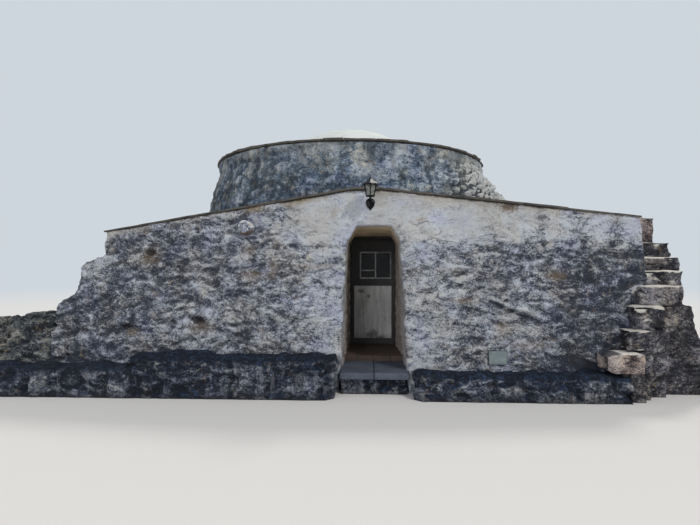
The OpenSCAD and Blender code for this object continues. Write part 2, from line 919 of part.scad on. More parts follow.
front_wall_left();
front_wall_right();
front_wall_over_door();
left_wall();
right_wall();
back_wall();
left_buttress();
garden_wall();
bench_left();
bench_right();
stair_base();
step_1();
step_2();
step_3();
step_4();
step_5();
step_6();
step_7();
step_8();
roof_paving();
front_coping();
drum_front();
drum_right();
drum_back();
drum_left();
drum_coping();
dome_front();
dome_back();
capstone();
room_floor();
passage_floor();
threshold_slabs();
inner_lintel();
jutting_stone();
utility_cover();
door_frame();
door_leaf();
door_sheet();
door_glass();
glazing_bars();
door_latch();
lantern_bracket();
lantern_cage();
lantern_glass();
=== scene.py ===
import math

import bmesh
import bpy
from mathutils import Matrix, Vector, noise


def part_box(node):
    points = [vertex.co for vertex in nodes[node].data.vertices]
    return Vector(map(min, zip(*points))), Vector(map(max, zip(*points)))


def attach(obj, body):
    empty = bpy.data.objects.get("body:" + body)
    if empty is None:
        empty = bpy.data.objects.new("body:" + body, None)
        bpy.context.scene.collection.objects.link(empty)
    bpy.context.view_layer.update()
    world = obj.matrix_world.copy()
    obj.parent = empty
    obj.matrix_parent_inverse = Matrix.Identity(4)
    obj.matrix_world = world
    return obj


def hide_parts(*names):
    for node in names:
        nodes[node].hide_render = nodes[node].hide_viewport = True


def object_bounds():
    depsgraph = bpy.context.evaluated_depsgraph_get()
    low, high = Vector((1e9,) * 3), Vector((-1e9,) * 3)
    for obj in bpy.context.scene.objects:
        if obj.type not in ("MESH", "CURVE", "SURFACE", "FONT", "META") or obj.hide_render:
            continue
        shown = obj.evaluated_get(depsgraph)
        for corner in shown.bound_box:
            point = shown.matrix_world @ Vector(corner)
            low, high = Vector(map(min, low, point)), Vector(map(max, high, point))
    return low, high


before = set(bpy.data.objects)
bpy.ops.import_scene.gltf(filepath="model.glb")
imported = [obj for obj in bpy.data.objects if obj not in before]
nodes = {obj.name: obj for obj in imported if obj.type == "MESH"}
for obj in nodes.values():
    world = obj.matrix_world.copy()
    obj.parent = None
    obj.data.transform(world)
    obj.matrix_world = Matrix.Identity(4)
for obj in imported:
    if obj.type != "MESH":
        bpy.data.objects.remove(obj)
noise.seed_set(7)  # else the noise takes its offsets from the clock
cad_lo, cad_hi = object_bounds()


# The floor and the sky behind the house
# A plain pale floor that runs out into a plain pale sky, lit by the sky and three soft lamps.
# The camera stands where the photograph was taken: level, 1.8 m up, in front of the doorway.
class Shade:
    """A shader socket, on which the usual operators add Math nodes."""

    def __init__(self, tree, socket=None):
        self.tree = tree
        self.socket = socket

    def node(self, kind, settings=None, sockets=None, give=0):
        """A new node with its settings, the values or links of its sockets, and the output it
        gives."""
        made = self.tree.nodes.new("ShaderNode" + kind)
        for name, value in (settings or {}).items():
            if name == "stops":
                ramp = made.color_ramp.elements
                while len(ramp) < len(value):
                    ramp.new(0.5)
                for stop, (place, colour) in zip(ramp, value):
                    stop.position = place
                    stop.color = (*colour, 1.0)
            else:
                setattr(made, name, value)
        for name, value in (sockets or {}).items():
            if isinstance(value, Shade):
                self.tree.links.new(value.socket, made.inputs[name])
            elif isinstance(value, tuple) and len(made.inputs[name].default_value) == 4:
                made.inputs[name].default_value = (*value, 1.0)
            else:
                made.inputs[name].default_value = value
        return Shade(self.tree, made.outputs[give] if len(made.outputs) else None)

    def maths(self, operation, first, second=0.0):
        return self.node("Math", {"operation": operation}, {0: first, 1: second})

    def __add__(self, other):
        return self.maths("ADD", self, other)

    def __sub__(self, other):
        return self.maths("SUBTRACT", self, other)

    def __rsub__(self, other):
        return self.maths("SUBTRACT", other, self)

    def __mul__(self, other):
        return self.maths("MULTIPLY", self, other)

    def __truediv__(self, other):
        return self.maths("DIVIDE", self, other)

    def __rtruediv__(self, other):
        return self.maths("DIVIDE", other, self)

    __radd__ = __add__
    __rmul__ = __mul__

    def over(self, low, high):
        """0 below low, 1 above high, and smooth between them; high may be the lower one."""
        return self.node("MapRange", {"interpolation_type": "SMOOTHSTEP"},
                         {"Value": self, "From Min": low, "From Max": high})

    def mix_of(self, factor, first, second, blend="MIX"):
        """Colour that goes from the first to the second as the factor goes from 0 to 1."""
        return self.node("Mix", {"data_type": "RGBA", "blend_type": blend},
                         {0: factor, 6: first, 7: second}, give=2)

    def coated(self, factor, *colour, blend="MIX"):
        """This colour, under a coat of another as far as the factor goes."""
        return self.mix_of(factor, self, srgb(*colour), blend)

    def part(self, letter):
        """X, Y or Z of a place or a direction."""
        return self.node("SeparateXYZ", None, {0: self}, give="XYZ".index(letter))


def srgb(red, green, blue):
    """A colour as it is written on screens, from 0 to 255, in linear light."""
    return tuple(c / 12.92 if c <= 0.04045 else ((c + 0.055) / 1.055) ** 2.4
                 for c in (red / 255, green / 255, blue / 255))


def new_material(name):
    """A material, its empty tree, and the place on the surface in metres."""
    made = bpy.data.materials.new(name)
    made.use_nodes = True
    made.node_tree.nodes.clear()
    tree = Shade(made.node_tree)
    return made, tree, tree.node("TexCoord", give=3)


sky = srgb(206, 214, 221)
camera_data = bpy.data.cameras.new("view")
camera_data.sensor_width = 36.0
camera_data.lens = 24.94
camera_data.clip_end = 400.0
camera = bpy.data.objects.new("view", camera_data)
camera.location = (-0.04, -10.55, 1.80)
camera.rotation_euler = (math.radians(90), 0, math.radians(2.48))
bpy.context.collection.objects.link(camera)
bpy.context.scene.camera = camera
bpy.context.scene.view_settings.view_transform = "Standard"

world = bpy.data.worlds.new("sky")
world.use_nodes = True
world.node_tree.nodes.clear()
sky_tree = Shade(world.node_tree)
seen = sky_tree.node("LightPath", give=0)
mirrored = sky_tree.node("LightPath", give=3)
through = sky_tree.node("LightPath", give=6)
plain = sky_tree.maths("MAXIMUM", sky_tree.maths("MAXIMUM", seen, mirrored), through)
lit = sky_tree.node("Background", None, {0: srgb(244, 247, 255), 1: 0.52})
shown = sky_tree.node("Background", None, {0: sky, 1: 1.0})
behind = sky_tree.node("MixShader", None, {0: plain, 1: lit, 2: shown})
sky_tree.node("OutputWorld", None, {0: behind})
bpy.context.scene.world = world

floor_mesh = bpy.data.meshes.new("floor")
sheet = bmesh.new()
bmesh.ops.create_grid(sheet, x_segments=8, y_segments=8, size=150.0)
sheet.to_mesh(floor_mesh)
floor = bpy.data.objects.new("floor", floor_mesh)
bpy.context.collection.objects.link(floor)
floor_paint, paint, place = new_material("floor_paint")
away = paint.node("VectorMath", {"operation": "LENGTH"}, {0: place}, give=1)
matt = paint.node("BsdfDiffuse", None, {0: srgb(214, 213, 210)})
glow = paint.node("Emission", None, {0: sky, 1: 1.0})
paint.node("OutputMaterial", None,
           {0: paint.node("MixShader", None, {0: away.over(9.0, 34.0), 1: matt, 2: glow})})
floor.data.materials.append(floor_paint)


def add_sun(name, azimuth, height, strength, spread, colour):
    """A far soft lamp, so many degrees round from the front to the right and above the horizon."""
    data = bpy.data.lights.new(name, "SUN")
    data.energy = strength
    data.angle = math.radians(spread)
    data.color = colour
    lamp = bpy.data.objects.new(name, data)
    lamp.rotation_euler = (math.radians(90 - height), 0, math.radians(azimuth))
    bpy.context.collection.objects.link(lamp)


add_sun("key", 46, 40, 1.50, 9, srgb(255, 251, 245))
add_sun("fill", -22, 13, 0.95, 30, srgb(248, 249, 255))
add_sun("back", 148, 50, 1.15, 10, srgb(255, 249, 240))


# Limewashed front of the block
# Rough field stones laid dry and thickly limewashed for generations, so that the coats hang over
# the stones in waves. Lichen and soot darken them; the plaster over the door is kept smoother.
def join(whole, part):
    """Moves the part into the whole."""
    kept = bpy.data.meshes.new("kept")
    part.to_mesh(kept)
    part.free()
    whole.from_mesh(kept)
    bpy.data.meshes.remove(kept)


def solid_of(names, planes=(), whole=None):
    """The CAD solids as one mesh, each cut back to the inner side of planes (point, outward)."""
    whole = whole or bmesh.new()
    for name in names:
        part = bmesh.new()
        part.from_mesh(nodes[name].data)
        bmesh.ops.remove_doubles(part, verts=part.verts, dist=1e-5)
        for point, outward in planes:
            bmesh.ops.bisect_plane(part, geom=part.verts[:] + part.edges[:] + part.faces[:],
                                   dist=1e-6, plane_co=point, plane_no=outward, clear_outer=True)
            rim = [e for e in part.edges if e.is_boundary]
            if rim:
                bmesh.ops.triangle_fill(part, use_beauty=True, edges=rim, normal=outward)
        join(whole, part)
    return whole


def add_piece(name, shape, body, stands_for, slot, material, smooth=True):
    """Adds the shape as a piece that rides on a body and stands for some CAD nodes."""
    mesh = bpy.data.meshes.new(name)
    shape.to_mesh(mesh)
    shape.free()
    mesh.polygons.foreach_set("use_smooth", [smooth] * len(mesh.polygons))
    piece = bpy.data.objects.new(name, mesh)
    bpy.context.collection.objects.link(piece)
    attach(piece, body)
    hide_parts(*stands_for)
    mesh.materials.append(material)


def regrained(shape, grain):
    """The shape as one closed skin of small squares, with what lies inside it gone."""
    mesh = bpy.data.meshes.new("grain")
    shape.to_mesh(mesh)
    shape.free()
    holder = bpy.data.objects.new("grain", mesh)
    bpy.context.collection.objects.link(holder)
    skin = holder.modifiers.new("skin", "REMESH")
    skin.mode = "VOXEL"
    skin.voxel_size = grain
    view = bpy.context.evaluated_depsgraph_get()
    done = bpy.data.meshes.new_from_object(holder.evaluated_get(view))
    fresh = bmesh.new()
    fresh.from_mesh(done)
    bpy.data.objects.remove(holder)
    return fresh


def step_up(value, low, high):
    """0 below low, 1 above high, and smooth between them; high may be the lower one."""
    t = min(max((value - low) / (high - low), 0.0), 1.0)
    return t * t * (3 - 2 * t)


def inside(p, mark):
    """1 at the middle of a mark on the front (x, z, half width, half height), 0 outside it."""
    x, z, wide, tall = mark
    return 1.0 - step_up(math.hypot((p.x - x) / wide, (p.z - z) / tall), 0.3, 1.1)


def draped_stones(p, wide=0.36, tall=0.22, coarse=0.024, wave=0.017, swell=0.028):
    """Relief of stones under thick limewash: how far the skin stands out, and 0 to 1 from the
    deepest joint to the proudest ridge."""
    drift = noise.noise_vector(p * 1.9) * 0.55
    near, _ = noise.voronoi(Vector((p.x / wide, p.y / wide, p.z / tall)) + drift)
    face = step_up(near[1] - near[0], 0.02, 0.42)
    w = Vector((p.x / 0.30, p.y / 0.30, p.z / 0.125)) + drift * 2.2
    fold = 1.0 - min(abs(noise.noise(w)) * 2.6, 1.0)
    lump = noise.noise(p * 11.0)
    fine = noise.noise(p * 24.0)
    out = (swell * noise.noise(p * 0.75) + coarse * (face - 0.6) + wave * (fold * fold - 0.3)
           + 0.015 * lump + 0.008 * fine)
    height = 0.34 * face + 0.26 * fold * fold + 0.22 + 0.24 * lump + 0.16 * fine
    return out, min(max(height, 0.0), 1.0)


def weathered(shape, relief, rounds=4, base=0.004):
    """Wears the edges down, then moves the skin by the relief; its foot stays flat. The relief is
    asked with a place and with how far the skin there faces up."""
    soft = [v for v in shape.verts if v.co.z > base]
    for _ in range(rounds):
        bmesh.ops.smooth_vert(shape, verts=soft, factor=0.5, use_axis_x=True, use_axis_y=True,
                              use_axis_z=True)
    shape.normal_update()
    mark = shape.verts.layers.float.new("relief")
    moved = []
    for v in shape.verts:
        out, height = relief(v.co, v.normal.z)
        v[mark] = height
        if base > 0:
            out *= 0.25 + 0.75 * step_up(v.co.z, 0.01, 0.09)
        moved.append(v.co + v.normal * out)
    for v, place in zip(shape.verts, moved):
        if v.co.z > base:
            v.co = [min(max(place[i], cad_lo[i]), cad_hi[i]) for i in range(3)]
        else:
            v.co = (place.x, place.y, 0.0)
    return shape


def clouds(place, scale, detail=5.0, rough=0.65, bend=0.0, stretch=None):
    """Cloudy noise about 0.5; the stretch squeezes it along an axis."""
    if stretch:
        place = place.node("Mapping", None, {"Vector": place, "Scale": stretch})
    return place.node("TexNoise", None, {"Vector": place, "Scale": scale, "Detail": detail,
                                         "Roughness": rough, "Distortion": bend})


def embossed(place, shift, *cloud):
    """Lit lips over dark hollows: the clouds less the same clouds a little way off."""
    off = place.node("VectorMath", {"operation": "ADD"}, {0: place, 1: shift})
    return clouds(place, *cloud) - clouds(off, *cloud)


def size_of(value):
    """The value without its sign."""
    return value.maths("ABSOLUTE", value)


def carried(tree, name):
    """A number that the mesh carries at its vertices."""
    return tree.node("Attribute", {"attribute_name": name}, give=2)


def marked(place, ragged, marks):
    """1 within the marks on the front and 0 outside, with a ragged edge."""
    least = 9.0
    for x, z, wide, tall in marks:
        near = place.node("VectorMath", {"operation": "MULTIPLY_ADD"},
                          {0: place, 1: (1 / wide, 0.0, 1 / tall), 2: (-x / wide, 0.0, -z / tall)})
        far = near.node("VectorMath", {"operation": "LENGTH"}, {0: near}, give=1)
        least = far if least == 9.0 else far.maths("MINIMUM", far, least)
    return (least + (ragged - 0.5) * 4.0).over(1.15, 0.25)


def painted(tree, skin, rough, bump=None, others=None):
    """Ends a material: its colour and roughness, a bump as its strength, depth and height, and
    other sockets by name."""
    sockets = {"Base Color": skin, "Roughness": rough, **(others or {})}
    if bump:
        strength, depth, height = bump
        sockets["Normal"] = tree.node("Bump", None, {"Strength": strength, "Distance": depth,
                                                     "Height": height})
    tree.node("OutputMaterial", None, {0: tree.node("BsdfPrincipled", None, sockets)})


def masonry_finish(name, cover, warm=0.25, tones=None, streaks=0.15, extra=None, lips=1.0):
    """Limewash with lichen over the share of it that cover gives, a number or made from x, y, z.
    The tones run from the deepest lichen to the cleanest lime; extra(skin, place, speck) may add
    what only one wall has. lips scales the painted light on small lips and the painted shade in
    the hollows under them."""
    made, tree, place = new_material(name)
    x, y, z = place.part("X"), place.part("Y"), place.part("Z")
    relief = carried(tree, "relief")
    blotch = clouds(place, 2.4, 5.0, 0.66, 0.6)
    speck = clouds(place, 17.0, 5.0, 0.76, 2.0, (1.0, 1.0, 1.35))
    dust = clouds(place, 52.0, 4.0, 0.72)
    run = clouds(place, 2.0, 5.0, 0.65, 0.0, (3.4, 3.4, 0.35))
    hue = clouds(place, 2.6, 4.0, 0.6)
    fleck = clouds(place, 8.0, 5.0, 0.72, 0.8)
    wrinkle = size_of(clouds(place, 5.0, 3.0, 0.55, 2.2, (1.0, 1.0, 1.7)) - 0.5).over(0.035, 0.0)
    lip = embossed(place, (0.006, 0.0, 0.024), 5.2, 6.0, 0.66, 1.4, (1.0, 1.0, 1.5))
    fold = embossed(place, (-0.012, 0.0, 0.050), 2.6, 2.0, 0.5, 1.8, (1.0, 1.0, 1.4))
    share = cover(x, y, z) if callable(cover) else cover
    # the lip and fold terms are painted light on small lips and painted shade in the hollows under
    # them
    tone = (0.5 + (speck - 0.5) * 1.3 + (fleck - 0.5) * 0.5 + (blotch - 0.5) * 0.6
            + (dust - 0.5) * 0.9 + (relief - 0.52) * 0.55 - (run - 0.5) * streaks
            - (share - 0.5) * 0.56 - wrinkle * 0.22 + (lip * 1.15 + fold) * lips)
    stops = zip((0.16, 0.36, 0.50, 0.64, 0.86), [srgb(*t) for t in tones or grey_tones])
    skin = tree.node("ValToRGB", {"stops": list(stops)}, {0: tone})
    skin = skin.coated(hue.over(0.47, 0.60) * warm, 255, 234, 200, blend="MULTIPLY")
    skin = skin.coated(fleck.over(0.585, 0.66) * warm, 152, 132, 98)
    skin = skin.coated(hue.over(0.46, 0.36) * 0.8, 240, 240, 255, blend="MULTIPLY")
    if extra:
        skin = extra(skin, place, speck)
    bump = (0.75, 0.03, fleck + speck * 0.9 + dust * 0.25 - wrinkle * 0.30)
    painted(tree, skin, 0.96 - tone * 0.1, bump, {"Specular IOR Level": 0.25})
    return made


# These greys are partly painted light: their blue cast is the blue of sky-lit shade.
grey_tones = ((48, 53, 63), (90, 95, 106), (132, 137, 146), (162, 168, 176), (184, 190, 196))

# The front leans back from its foot, and the roof falls both ways from its flat peak
front_foot, front_lean = -3.85, 0.105
roof_peak, roof_left, roof_right = 2.855, -0.30, 0.09
fall_left, fall_right = 0.6 / 3.622, 0.415 / 3.639


def roof_height(x):
    return roof_peak - fall_left * max(0.0, roof_left - x) - fall_right * max(0.0, x - roof_right)


# Marks on the front, each as x, z, half width and half height: holes where a stone fell out,
# painted near black inside as painted shade, ochre rain stains, the chipped plaster under the
# coping, the patch behind the lantern, dark joints between large stones, and the utility cover,
# which has a painted shadow round it
holes = ((-3.24, 1.95, 0.11, 0.08), (-2.50, 0.98, 0.13, 0.07), (-3.52, 0.88, 0.10, 0.05),
         (-4.38, 0.58, 0.035, 0.03), (-4.36, 0.49, 0.03, 0.03))
rusty = ((-3.24, 1.88, 0.20, 0.16), (-2.46, 0.88, 0.24, 0.12), (-1.82, 1.96, 0.14, 0.14),
         (-0.56, 2.50, 0.07, 0.16), (1.90, 2.56, 0.16, 0.07), (1.76, 0.86, 0.14, 0.13),
         (2.10, 0.66, 0.30, 0.08), (1.22, 1.27, 0.22, 0.06), (-1.75, 1.62, 0.22, 0.08),
         (2.55, 1.62, 0.16, 0.10), (-3.45, 0.80, 0.12, 0.08), (-0.80, 1.745, 0.36, 0.045),
         (-1.45, 1.70, 0.10, 0.20), (0.70, 2.42, 0.10, 0.05))
chip = (1.92, 2.60, 0.15, 0.10)
lantern_patch = (0.02, 2.72, 0.10, 0.19)
joints = ((-0.88, 1.68, 0.44, 0.013), (-0.92, 1.19, 0.40, 0.012), (-1.33, 1.42, 0.013, 0.34),
          (-0.66, 2.02, 0.20, 0.010), (0.98, 2.10, 0.36, 0.012), (0.72, 2.36, 0.22, 0.010),
          (0.80, 1.62, 0.24, 0.012), (1.62, 2.16, 0.30, 0.010), (-2.9, 1.52, 0.30, 0.012),
          (-2.1, 1.30, 0.34, 0.012), (0.86, 1.05, 0.16, 0.012), (-3.3, 1.22, 0.34, 0.012))


lid = (1.70, 0.49, 0.125, 0.09)
lid_shadow_rim = (1.7025, 0.490, 0.1265, 0.092)
sunken_joints = (1.19, 1.68, 2.02)


def front_relief(p, up):
    """Thick folds, calmer round the doorway, in the passage, under the coping and at the lid."""
    out, height = draped_stones(p)
    x, z, wide, tall = lid
    at_lid = step_up(max(abs(p.x - x) - wide, abs(p.z - z) - tall), 0.07, 0.02)
    calm = max(step_up(p.z, 2.00, 2.25) * step_up(p.x, -1.7, -0.6),
               0.6 * step_up(abs(p.x), 1.25, 0.7),
               0.85 * step_up(p.y, -3.78, -3.55) * step_up(abs(p.x), 0.6, 0.5),
               0.9 * step_up(roof_height(p.x) - p.z, 0.12, 0.03), at_lid)
    out = out * (1.0 - 0.72 * calm) - 0.014 * at_lid
    height = 0.55 * calm + height * (1.0 - 0.55 * calm)
    # the buttress is rougher
    if p.x < -4.0 and p.z < 2.2:
        out *= 1.25
    if p.y < -3.3 and up < 0.7:
        # the holes are also marked low in the relief, which paints them dark: painted shade inside
        # them
        for hole in holes:
            depth = inside(p, hole)
            out -= 0.045 * depth
            height -= 0.5 * depth
        out -= 0.030 * inside(p, chip)
        # a long fold that falls to the right, with a groove under it; the lip is marked high and
        # the groove low, a painted highlight on the lip and a painted shadow in the groove
        along = step_up(p.x, 1.45, 1.60) * step_up(p.x, 2.60, 2.30)
        off = p.z - (1.31 - 0.40 * (p.x - 1.53)) - 0.03 * noise.noise(p * 4.0)
        lip = along * (step_up(off, -0.01, 0.02) * step_up(off, 0.10, 0.03))
        groove = along * (step_up(off, -0.075, -0.04) * step_up(off, 0.005, -0.02))
        out += 0.022 * lip - 0.020 * groove
        height += 0.3 * lip - 0.35 * groove
        if -1.30 < p.x < -0.42:
            wavy = p.z + 0.02 * noise.noise(p * 3.0)
            line = max(1.0 - abs(wavy - at) / 0.022 for at in sunken_joints)
            out -= 0.014 * max(line, 0.0)
    return out, min(max(height, 0.0), 1.0)


def front_cover(x, y, z):
    """Share of the front that lichen covers: little above the door, most at both ends, with
    three dark runs from the coping on the right."""
    place = x.node("CombineXYZ", None, {0: x, 1: y, 2: z})
    edge = z + (clouds(place, 1.7, 5.0, 0.65, 0.6, (1.6, 1.0, 0.6)) - 0.5) * 0.8
    upper = edge.over(1.90, 2.30) * x.over(-1.9, -0.7)
    door = size_of(x + 0.1).over(1.7, 0.8)
    ends = x.over(-2.2, -4.4) * 0.20 - x.over(-3.7, -3.95) * z.over(1.2, 1.6) * 0.16
    right = x.over(2.25, 2.85) * edge.over(2.15, 1.30) * 0.34
    foot = z.over(0.75, 0.42) * x.over(1.9, 2.6) * 0.16 + z.over(0.62, 0.38) * 0.10
    band = z.over(1.35, 1.6) * z.over(2.15, 1.9) * x.over(0.7, 1.2) * 0.05
    band = band - x.over(0.7, 1.2) * x.over(2.7, 2.3) * z.over(0.5, 0.7) * 0.08
    runs = 0.0
    for at, wide in ((2.37, 0.12), (2.88, 0.24), (3.40, 0.18)):
        runs = size_of(x - at).over(wide, 0.0) * z.over(1.95, 2.2) * 0.55 + runs
    corner = x.over(-3.3, -3.9) * z.over(1.80, 2.05) * 0.26
    return 0.53 - upper * 0.36 - door * 0.16 + ends + right + foot + band + runs - corner


def reveal_marks(skin, place, speck):
    """Brown stain on the sides of the passage, pale lime on them that thins on the left side as
    painted shade there, and dark brown bands on the underside of its head.
    """
    x, y, z = place.part("X"), place.part("Y"), place.part("Z")
    within = (y - z * front_lean - front_foot).over(0.05, 0.16) * size_of(x + 0.01).over(0.56, 0.53)
    stain = clouds(place, 3.0, 4.0, 0.6, 0.5)
    # the pale lime thins towards the left side: painted shade on the left side of the passage
    pale = (0.20 + stain * 0.5) * (0.30 + x.over(-0.1, 0.1) * 0.70)
    skin = skin.coated(within * pale, 186, 182, 178)
    skin = skin.coated(within, 255, 247, 240, blend="MULTIPLY")
    bands = clouds(place, 3.0, 4.0, 0.6, 0.4, (0.8, 9.0, 2.0))
    skin = skin.coated(within * z.over(2.0, 2.3) * (0.35 + speck * 0.7), 255, 228, 186)
    return skin.coated(within * z.over(2.12, 2.3) * bands.over(0.52, 0.60) * 0.6, 92, 72, 52)


def front_marks(skin, place, speck):
    """Cream plaster over the door, stains, holes painted near black as painted shade, the chip, a
    painted shadow round the lid, and a rusty band with a dark line right under the coping.
    """
    x, z = place.part("X"), place.part("Z")
    smooth = z.over(2.02, 2.32) * x.over(-1.9, -0.9) * x.over(3.0, 2.2)
    wash = clouds(place, 1.4, 4.0, 0.6, 0.8)
    skin = skin.coated(smooth * wash.over(0.42, 0.58) * 0.42, 170, 168, 164)
    skin = skin.coated(marked(place, speck, rusty) * 0.36, 132, 112, 80)
    skin = skin.coated(marked(place, speck, (chip,)) * 0.8, 104, 86, 66)
    skin = skin.coated(marked(place, speck, (lantern_patch,)) * 0.6, 196, 196, 192)
    # painted shade: the holes are painted near black inside
    skin = skin.coated(marked(place, speck, holes) * 0.9, 36, 32, 32)
    bent = clouds(place, 2.2, 2.0, 0.5)
    level = place.node("CombineXYZ", None, {0: x + (bent - 0.5) * 0.12, 1: 0.0,
                                            2: z + (bent - 0.5) * 0.30})
    skin = skin.coated(marked(level, speck * 0.35 + 0.325, joints) * 0.6, 50, 54, 64)
    # A painted shadow round the lid: a dark rim where it meets the wall.
    lid_x, lid_z, wide, tall = lid_shadow_rim
    rim = place.maths("MAXIMUM", size_of(x - lid_x) / wide, size_of(z - lid_z) / tall)
    skin = skin.coated((rim + (speck - 0.5) * 0.2).over(1.14, 1.02) * 0.85, 44, 44, 48)
    left = place.maths("MAXIMUM", roof_left - x, 0.0) * fall_left
    right = place.maths("MAXIMUM", x - roof_right, 0.0) * fall_right
    below = roof_peak - left - right - z
    rust = (below.over(0.13, 0.03) * wash.over(0.38, 0.58)
            * (0.35 + x.over(0.5, -0.8) * 0.35 - x.over(-2.0, -3.0) * 0.35))
    skin = skin.coated(rust, 142, 122, 88)
    skin = skin.coated((below + (speck - 0.5) * 0.12).over(0.040, 0.010) * 0.8, 58, 52, 44)
    return reveal_marks(skin, place, speck)


limewash = masonry_finish("limewash", front_cover, 0.32, extra=front_marks, lips=0.75)
# The front is parted from the block at this plane, with an overlap; its flat back is hidden
# by the block and needs no grain
front_cut = -3.0
behind = ((0, front_cut - 0.04, 0), (0, -1, 0))
ahead = ((0, front_cut, 0), (0, 1, 0))
front_names = ("front_wall_left", "front_wall_right", "front_wall_over_door", "left_wall",
               "right_wall")
front = solid_of(front_names, [ahead])
front = regrained(solid_of(("left_buttress",), (), front), 0.021)
hidden = {v for v in front.verts if v.co.y > front_cut - 0.012}
bmesh.ops.dissolve_limit(front, angle_limit=0.02, verts=[v for v in front.verts if v in hidden],
                         edges=[e for e in front.edges if hidden.issuperset(e.verts)])
add_piece("front_masonry", weathered(front, front_relief), "house",
          front_names + ("left_buttress",), "limewash", limewash)


# Walls of the passage and the recess behind it
# The limewash is carried in round the doorway, thinner and smoother, and stained brown where
# hands and rain reach it; the recess holds the door frame and leads into the room.
off_ground = -1.0


def add_stones(name, shape, grain, relief, rounds, names, slot, material, base=0.004):
    """Adds a piece of the house that is regrained and weathered, for the named CAD nodes. Its
    foot stays flat up to the base, or nowhere if that is off_ground."""
    shape = weathered(regrained(shape, grain), relief, rounds, base)
    add_piece(name, shape, "house", names, slot, material)


def passage_relief(p, up):
    out, height = draped_stones(p)
    return out * 0.3, 0.4 + height * 0.36


def passage_cover(x, y, z):
    return 0.30 + z.over(0.9, 0.4) * 0.3


# These tones are warmer than the front's, and lighter as painted light, standing in for light that
# hardly reaches into the passage.
inner_lit_tones = ((60, 57, 56), (98, 95, 94), (136, 132, 130), (170, 165, 160), (198, 192, 184))
passage_wash = masonry_finish("passage_wash", passage_cover, 0.35, inner_lit_tones,
                              extra=reveal_marks)
inner_names = ("front_wall_left", "front_wall_right", "front_wall_over_door", "inner_lintel")
inner_left, inner_right, inner_top = -0.86, 0.84, 2.75
overlap = 0.06
passage = solid_of(inner_names, [behind, ((inner_left, 0, 0), (-1, 0, 0)),
                                 ((inner_right, 0, 0), (1, 0, 0)),
                                 ((0, 0, inner_top), (0, 0, 1))])
add_stones("passage_masonry", passage, 0.024, passage_relief, 2, inner_names, "limewash",
           passage_wash)


# The rest of the block, with the round room inside it
# Rubble walls more than a metre thick, laid without mortar and limewashed long ago; inside,
# the courses close in over the room. The block's top is packed rubble under the roof slabs.
middle_x = -0.5
room_reach = 2.0


def from_middle(p):
    """How far a place is from the upright axis of the room and the drum."""
    return math.hypot(p.x - middle_x, p.y)


def block_relief(p, up):
    out, height = draped_stones(p, 0.42, 0.26, 0.030, 0.014)
    if from_middle(p) < room_reach:
        return out * 0.45, 0.3 + 0.7 * height
    if p.z > 2.0 and roof_height(p.x) - p.z < 0.04:
        return 0.0, 0.5
    return out * 1.2, height


def block_cover(x, y, z):
    return 0.50 - z.over(1.2, 2.4) * 0.12


block_tones = ((34, 36, 41), (72, 73, 78), (110, 111, 112), (150, 149, 146), (184, 182, 176))
rubble = masonry_finish("rubble", block_cover, 0.4, block_tones, lips=0.7)
# The backs of the front walls, beside and above the passage, belong to the block
block = solid_of(("left_wall", "right_wall", "back_wall"), [behind])
solid_of(["front_wall_left"], [behind, ((inner_left + overlap, 0, 0), (1, 0, 0))], block)
solid_of(["front_wall_right"], [behind, ((inner_right - overlap, 0, 0), (-1, 0, 0))], block)
solid_of(("front_wall_over_door", "inner_lintel"),
         [behind, ((0, 0, inner_top - overlap), (0, 0, -1))], block)
add_stones("block_masonry", block, 0.052, block_relief, 2,
           ("left_wall", "right_wall", "back_wall", "front_wall_left", "front_wall_right"),
           "rubble", rubble)


# The round upper tier
# A ring of limewashed rubble that loads the vault. Its upper part is kept whiter; rain has
# run down it from the coping, and on the right the coats are gone and the stones slump.
drum_top = 3.74


def bare_share(p):
    """1 where the drum has lost its limewash, on the right, and 0 elsewhere."""
    angle = math.atan2(p.y, p.x - middle_x) + 0.12 * noise.noise(p * 3.0)
    return (step_up(angle, -1.05, -0.72) * step_up(angle, 1.0, 0.7)
            * step_up(p.z, drum_top, 3.50))


def drum_relief(p, up):
    out, height = draped_stones(p, 0.34, 0.20, 0.022, 0.012, 0.02)
    if from_middle(p) < room_reach or p.z > drum_top:
        return out * 0.3, 0.3 + 0.7 * height
    bare = bare_share(p)
    near, _ = noise.voronoi(Vector((p.x / 0.17, p.y / 0.17, p.z / 0.11))
                            + noise.noise_vector(p * 2.5) * 0.4)
    stone = step_up(near[1] - near[0], 0.03, 0.45)
    return (out * (0.8 + 0.4 * bare) + 0.085 * bare * (stone - 0.75),
            height + (stone - height) * bare)


def drum_cover_and_light(x, y, z):
    # less lichen towards the right makes that side lighter: painted light where the right flank is
    # lit
    return (0.66 - z.over(3.10, 3.60) * 0.16 - x.over(-1.9, 0.9) * 0.24
            - x.over(1.3, 1.9) * 0.15)


def drum_marks(skin, place, speck):
    """Runs of old lime and of rain from the coping, and pale bare stones on the right."""
    x, z = place.part("X"), place.part("Z")
    run = clouds(place, 1.9, 4.0, 0.6, 0.3, (2.2, 2.2, 0.30))
    patch = clouds(place, 1.3, 5.0, 0.62, 1.0)
    lime = (patch + (speck - 0.5) * 0.35 + z.over(3.2, 3.7) * 0.05).over(0.53, 0.62)
    skin = skin.coated(lime * 0.36, 164, 167, 164)
    skin = skin.coated(run.over(0.52, 0.62) * z.over(3.0, 3.6) * 0.55, 80, 86, 92)
    skin = skin.coated(run.over(0.46, 0.36) * z.over(3.35, 3.70) * 0.45, 176, 176, 170)
    bare = (x + (speck - 0.5) * 1.6).over(1.25, 1.9) * z.over(drum_top, 3.50)
    face = place.mix_of(speck.over(0.36, 0.58), srgb(116, 124, 130), srgb(212, 213, 208))
    stone = place.mix_of(carried(place, "relief").over(0.10, 0.42), srgb(60, 62, 66), face)
    return place.mix_of(bare * 0.9, skin, stone)


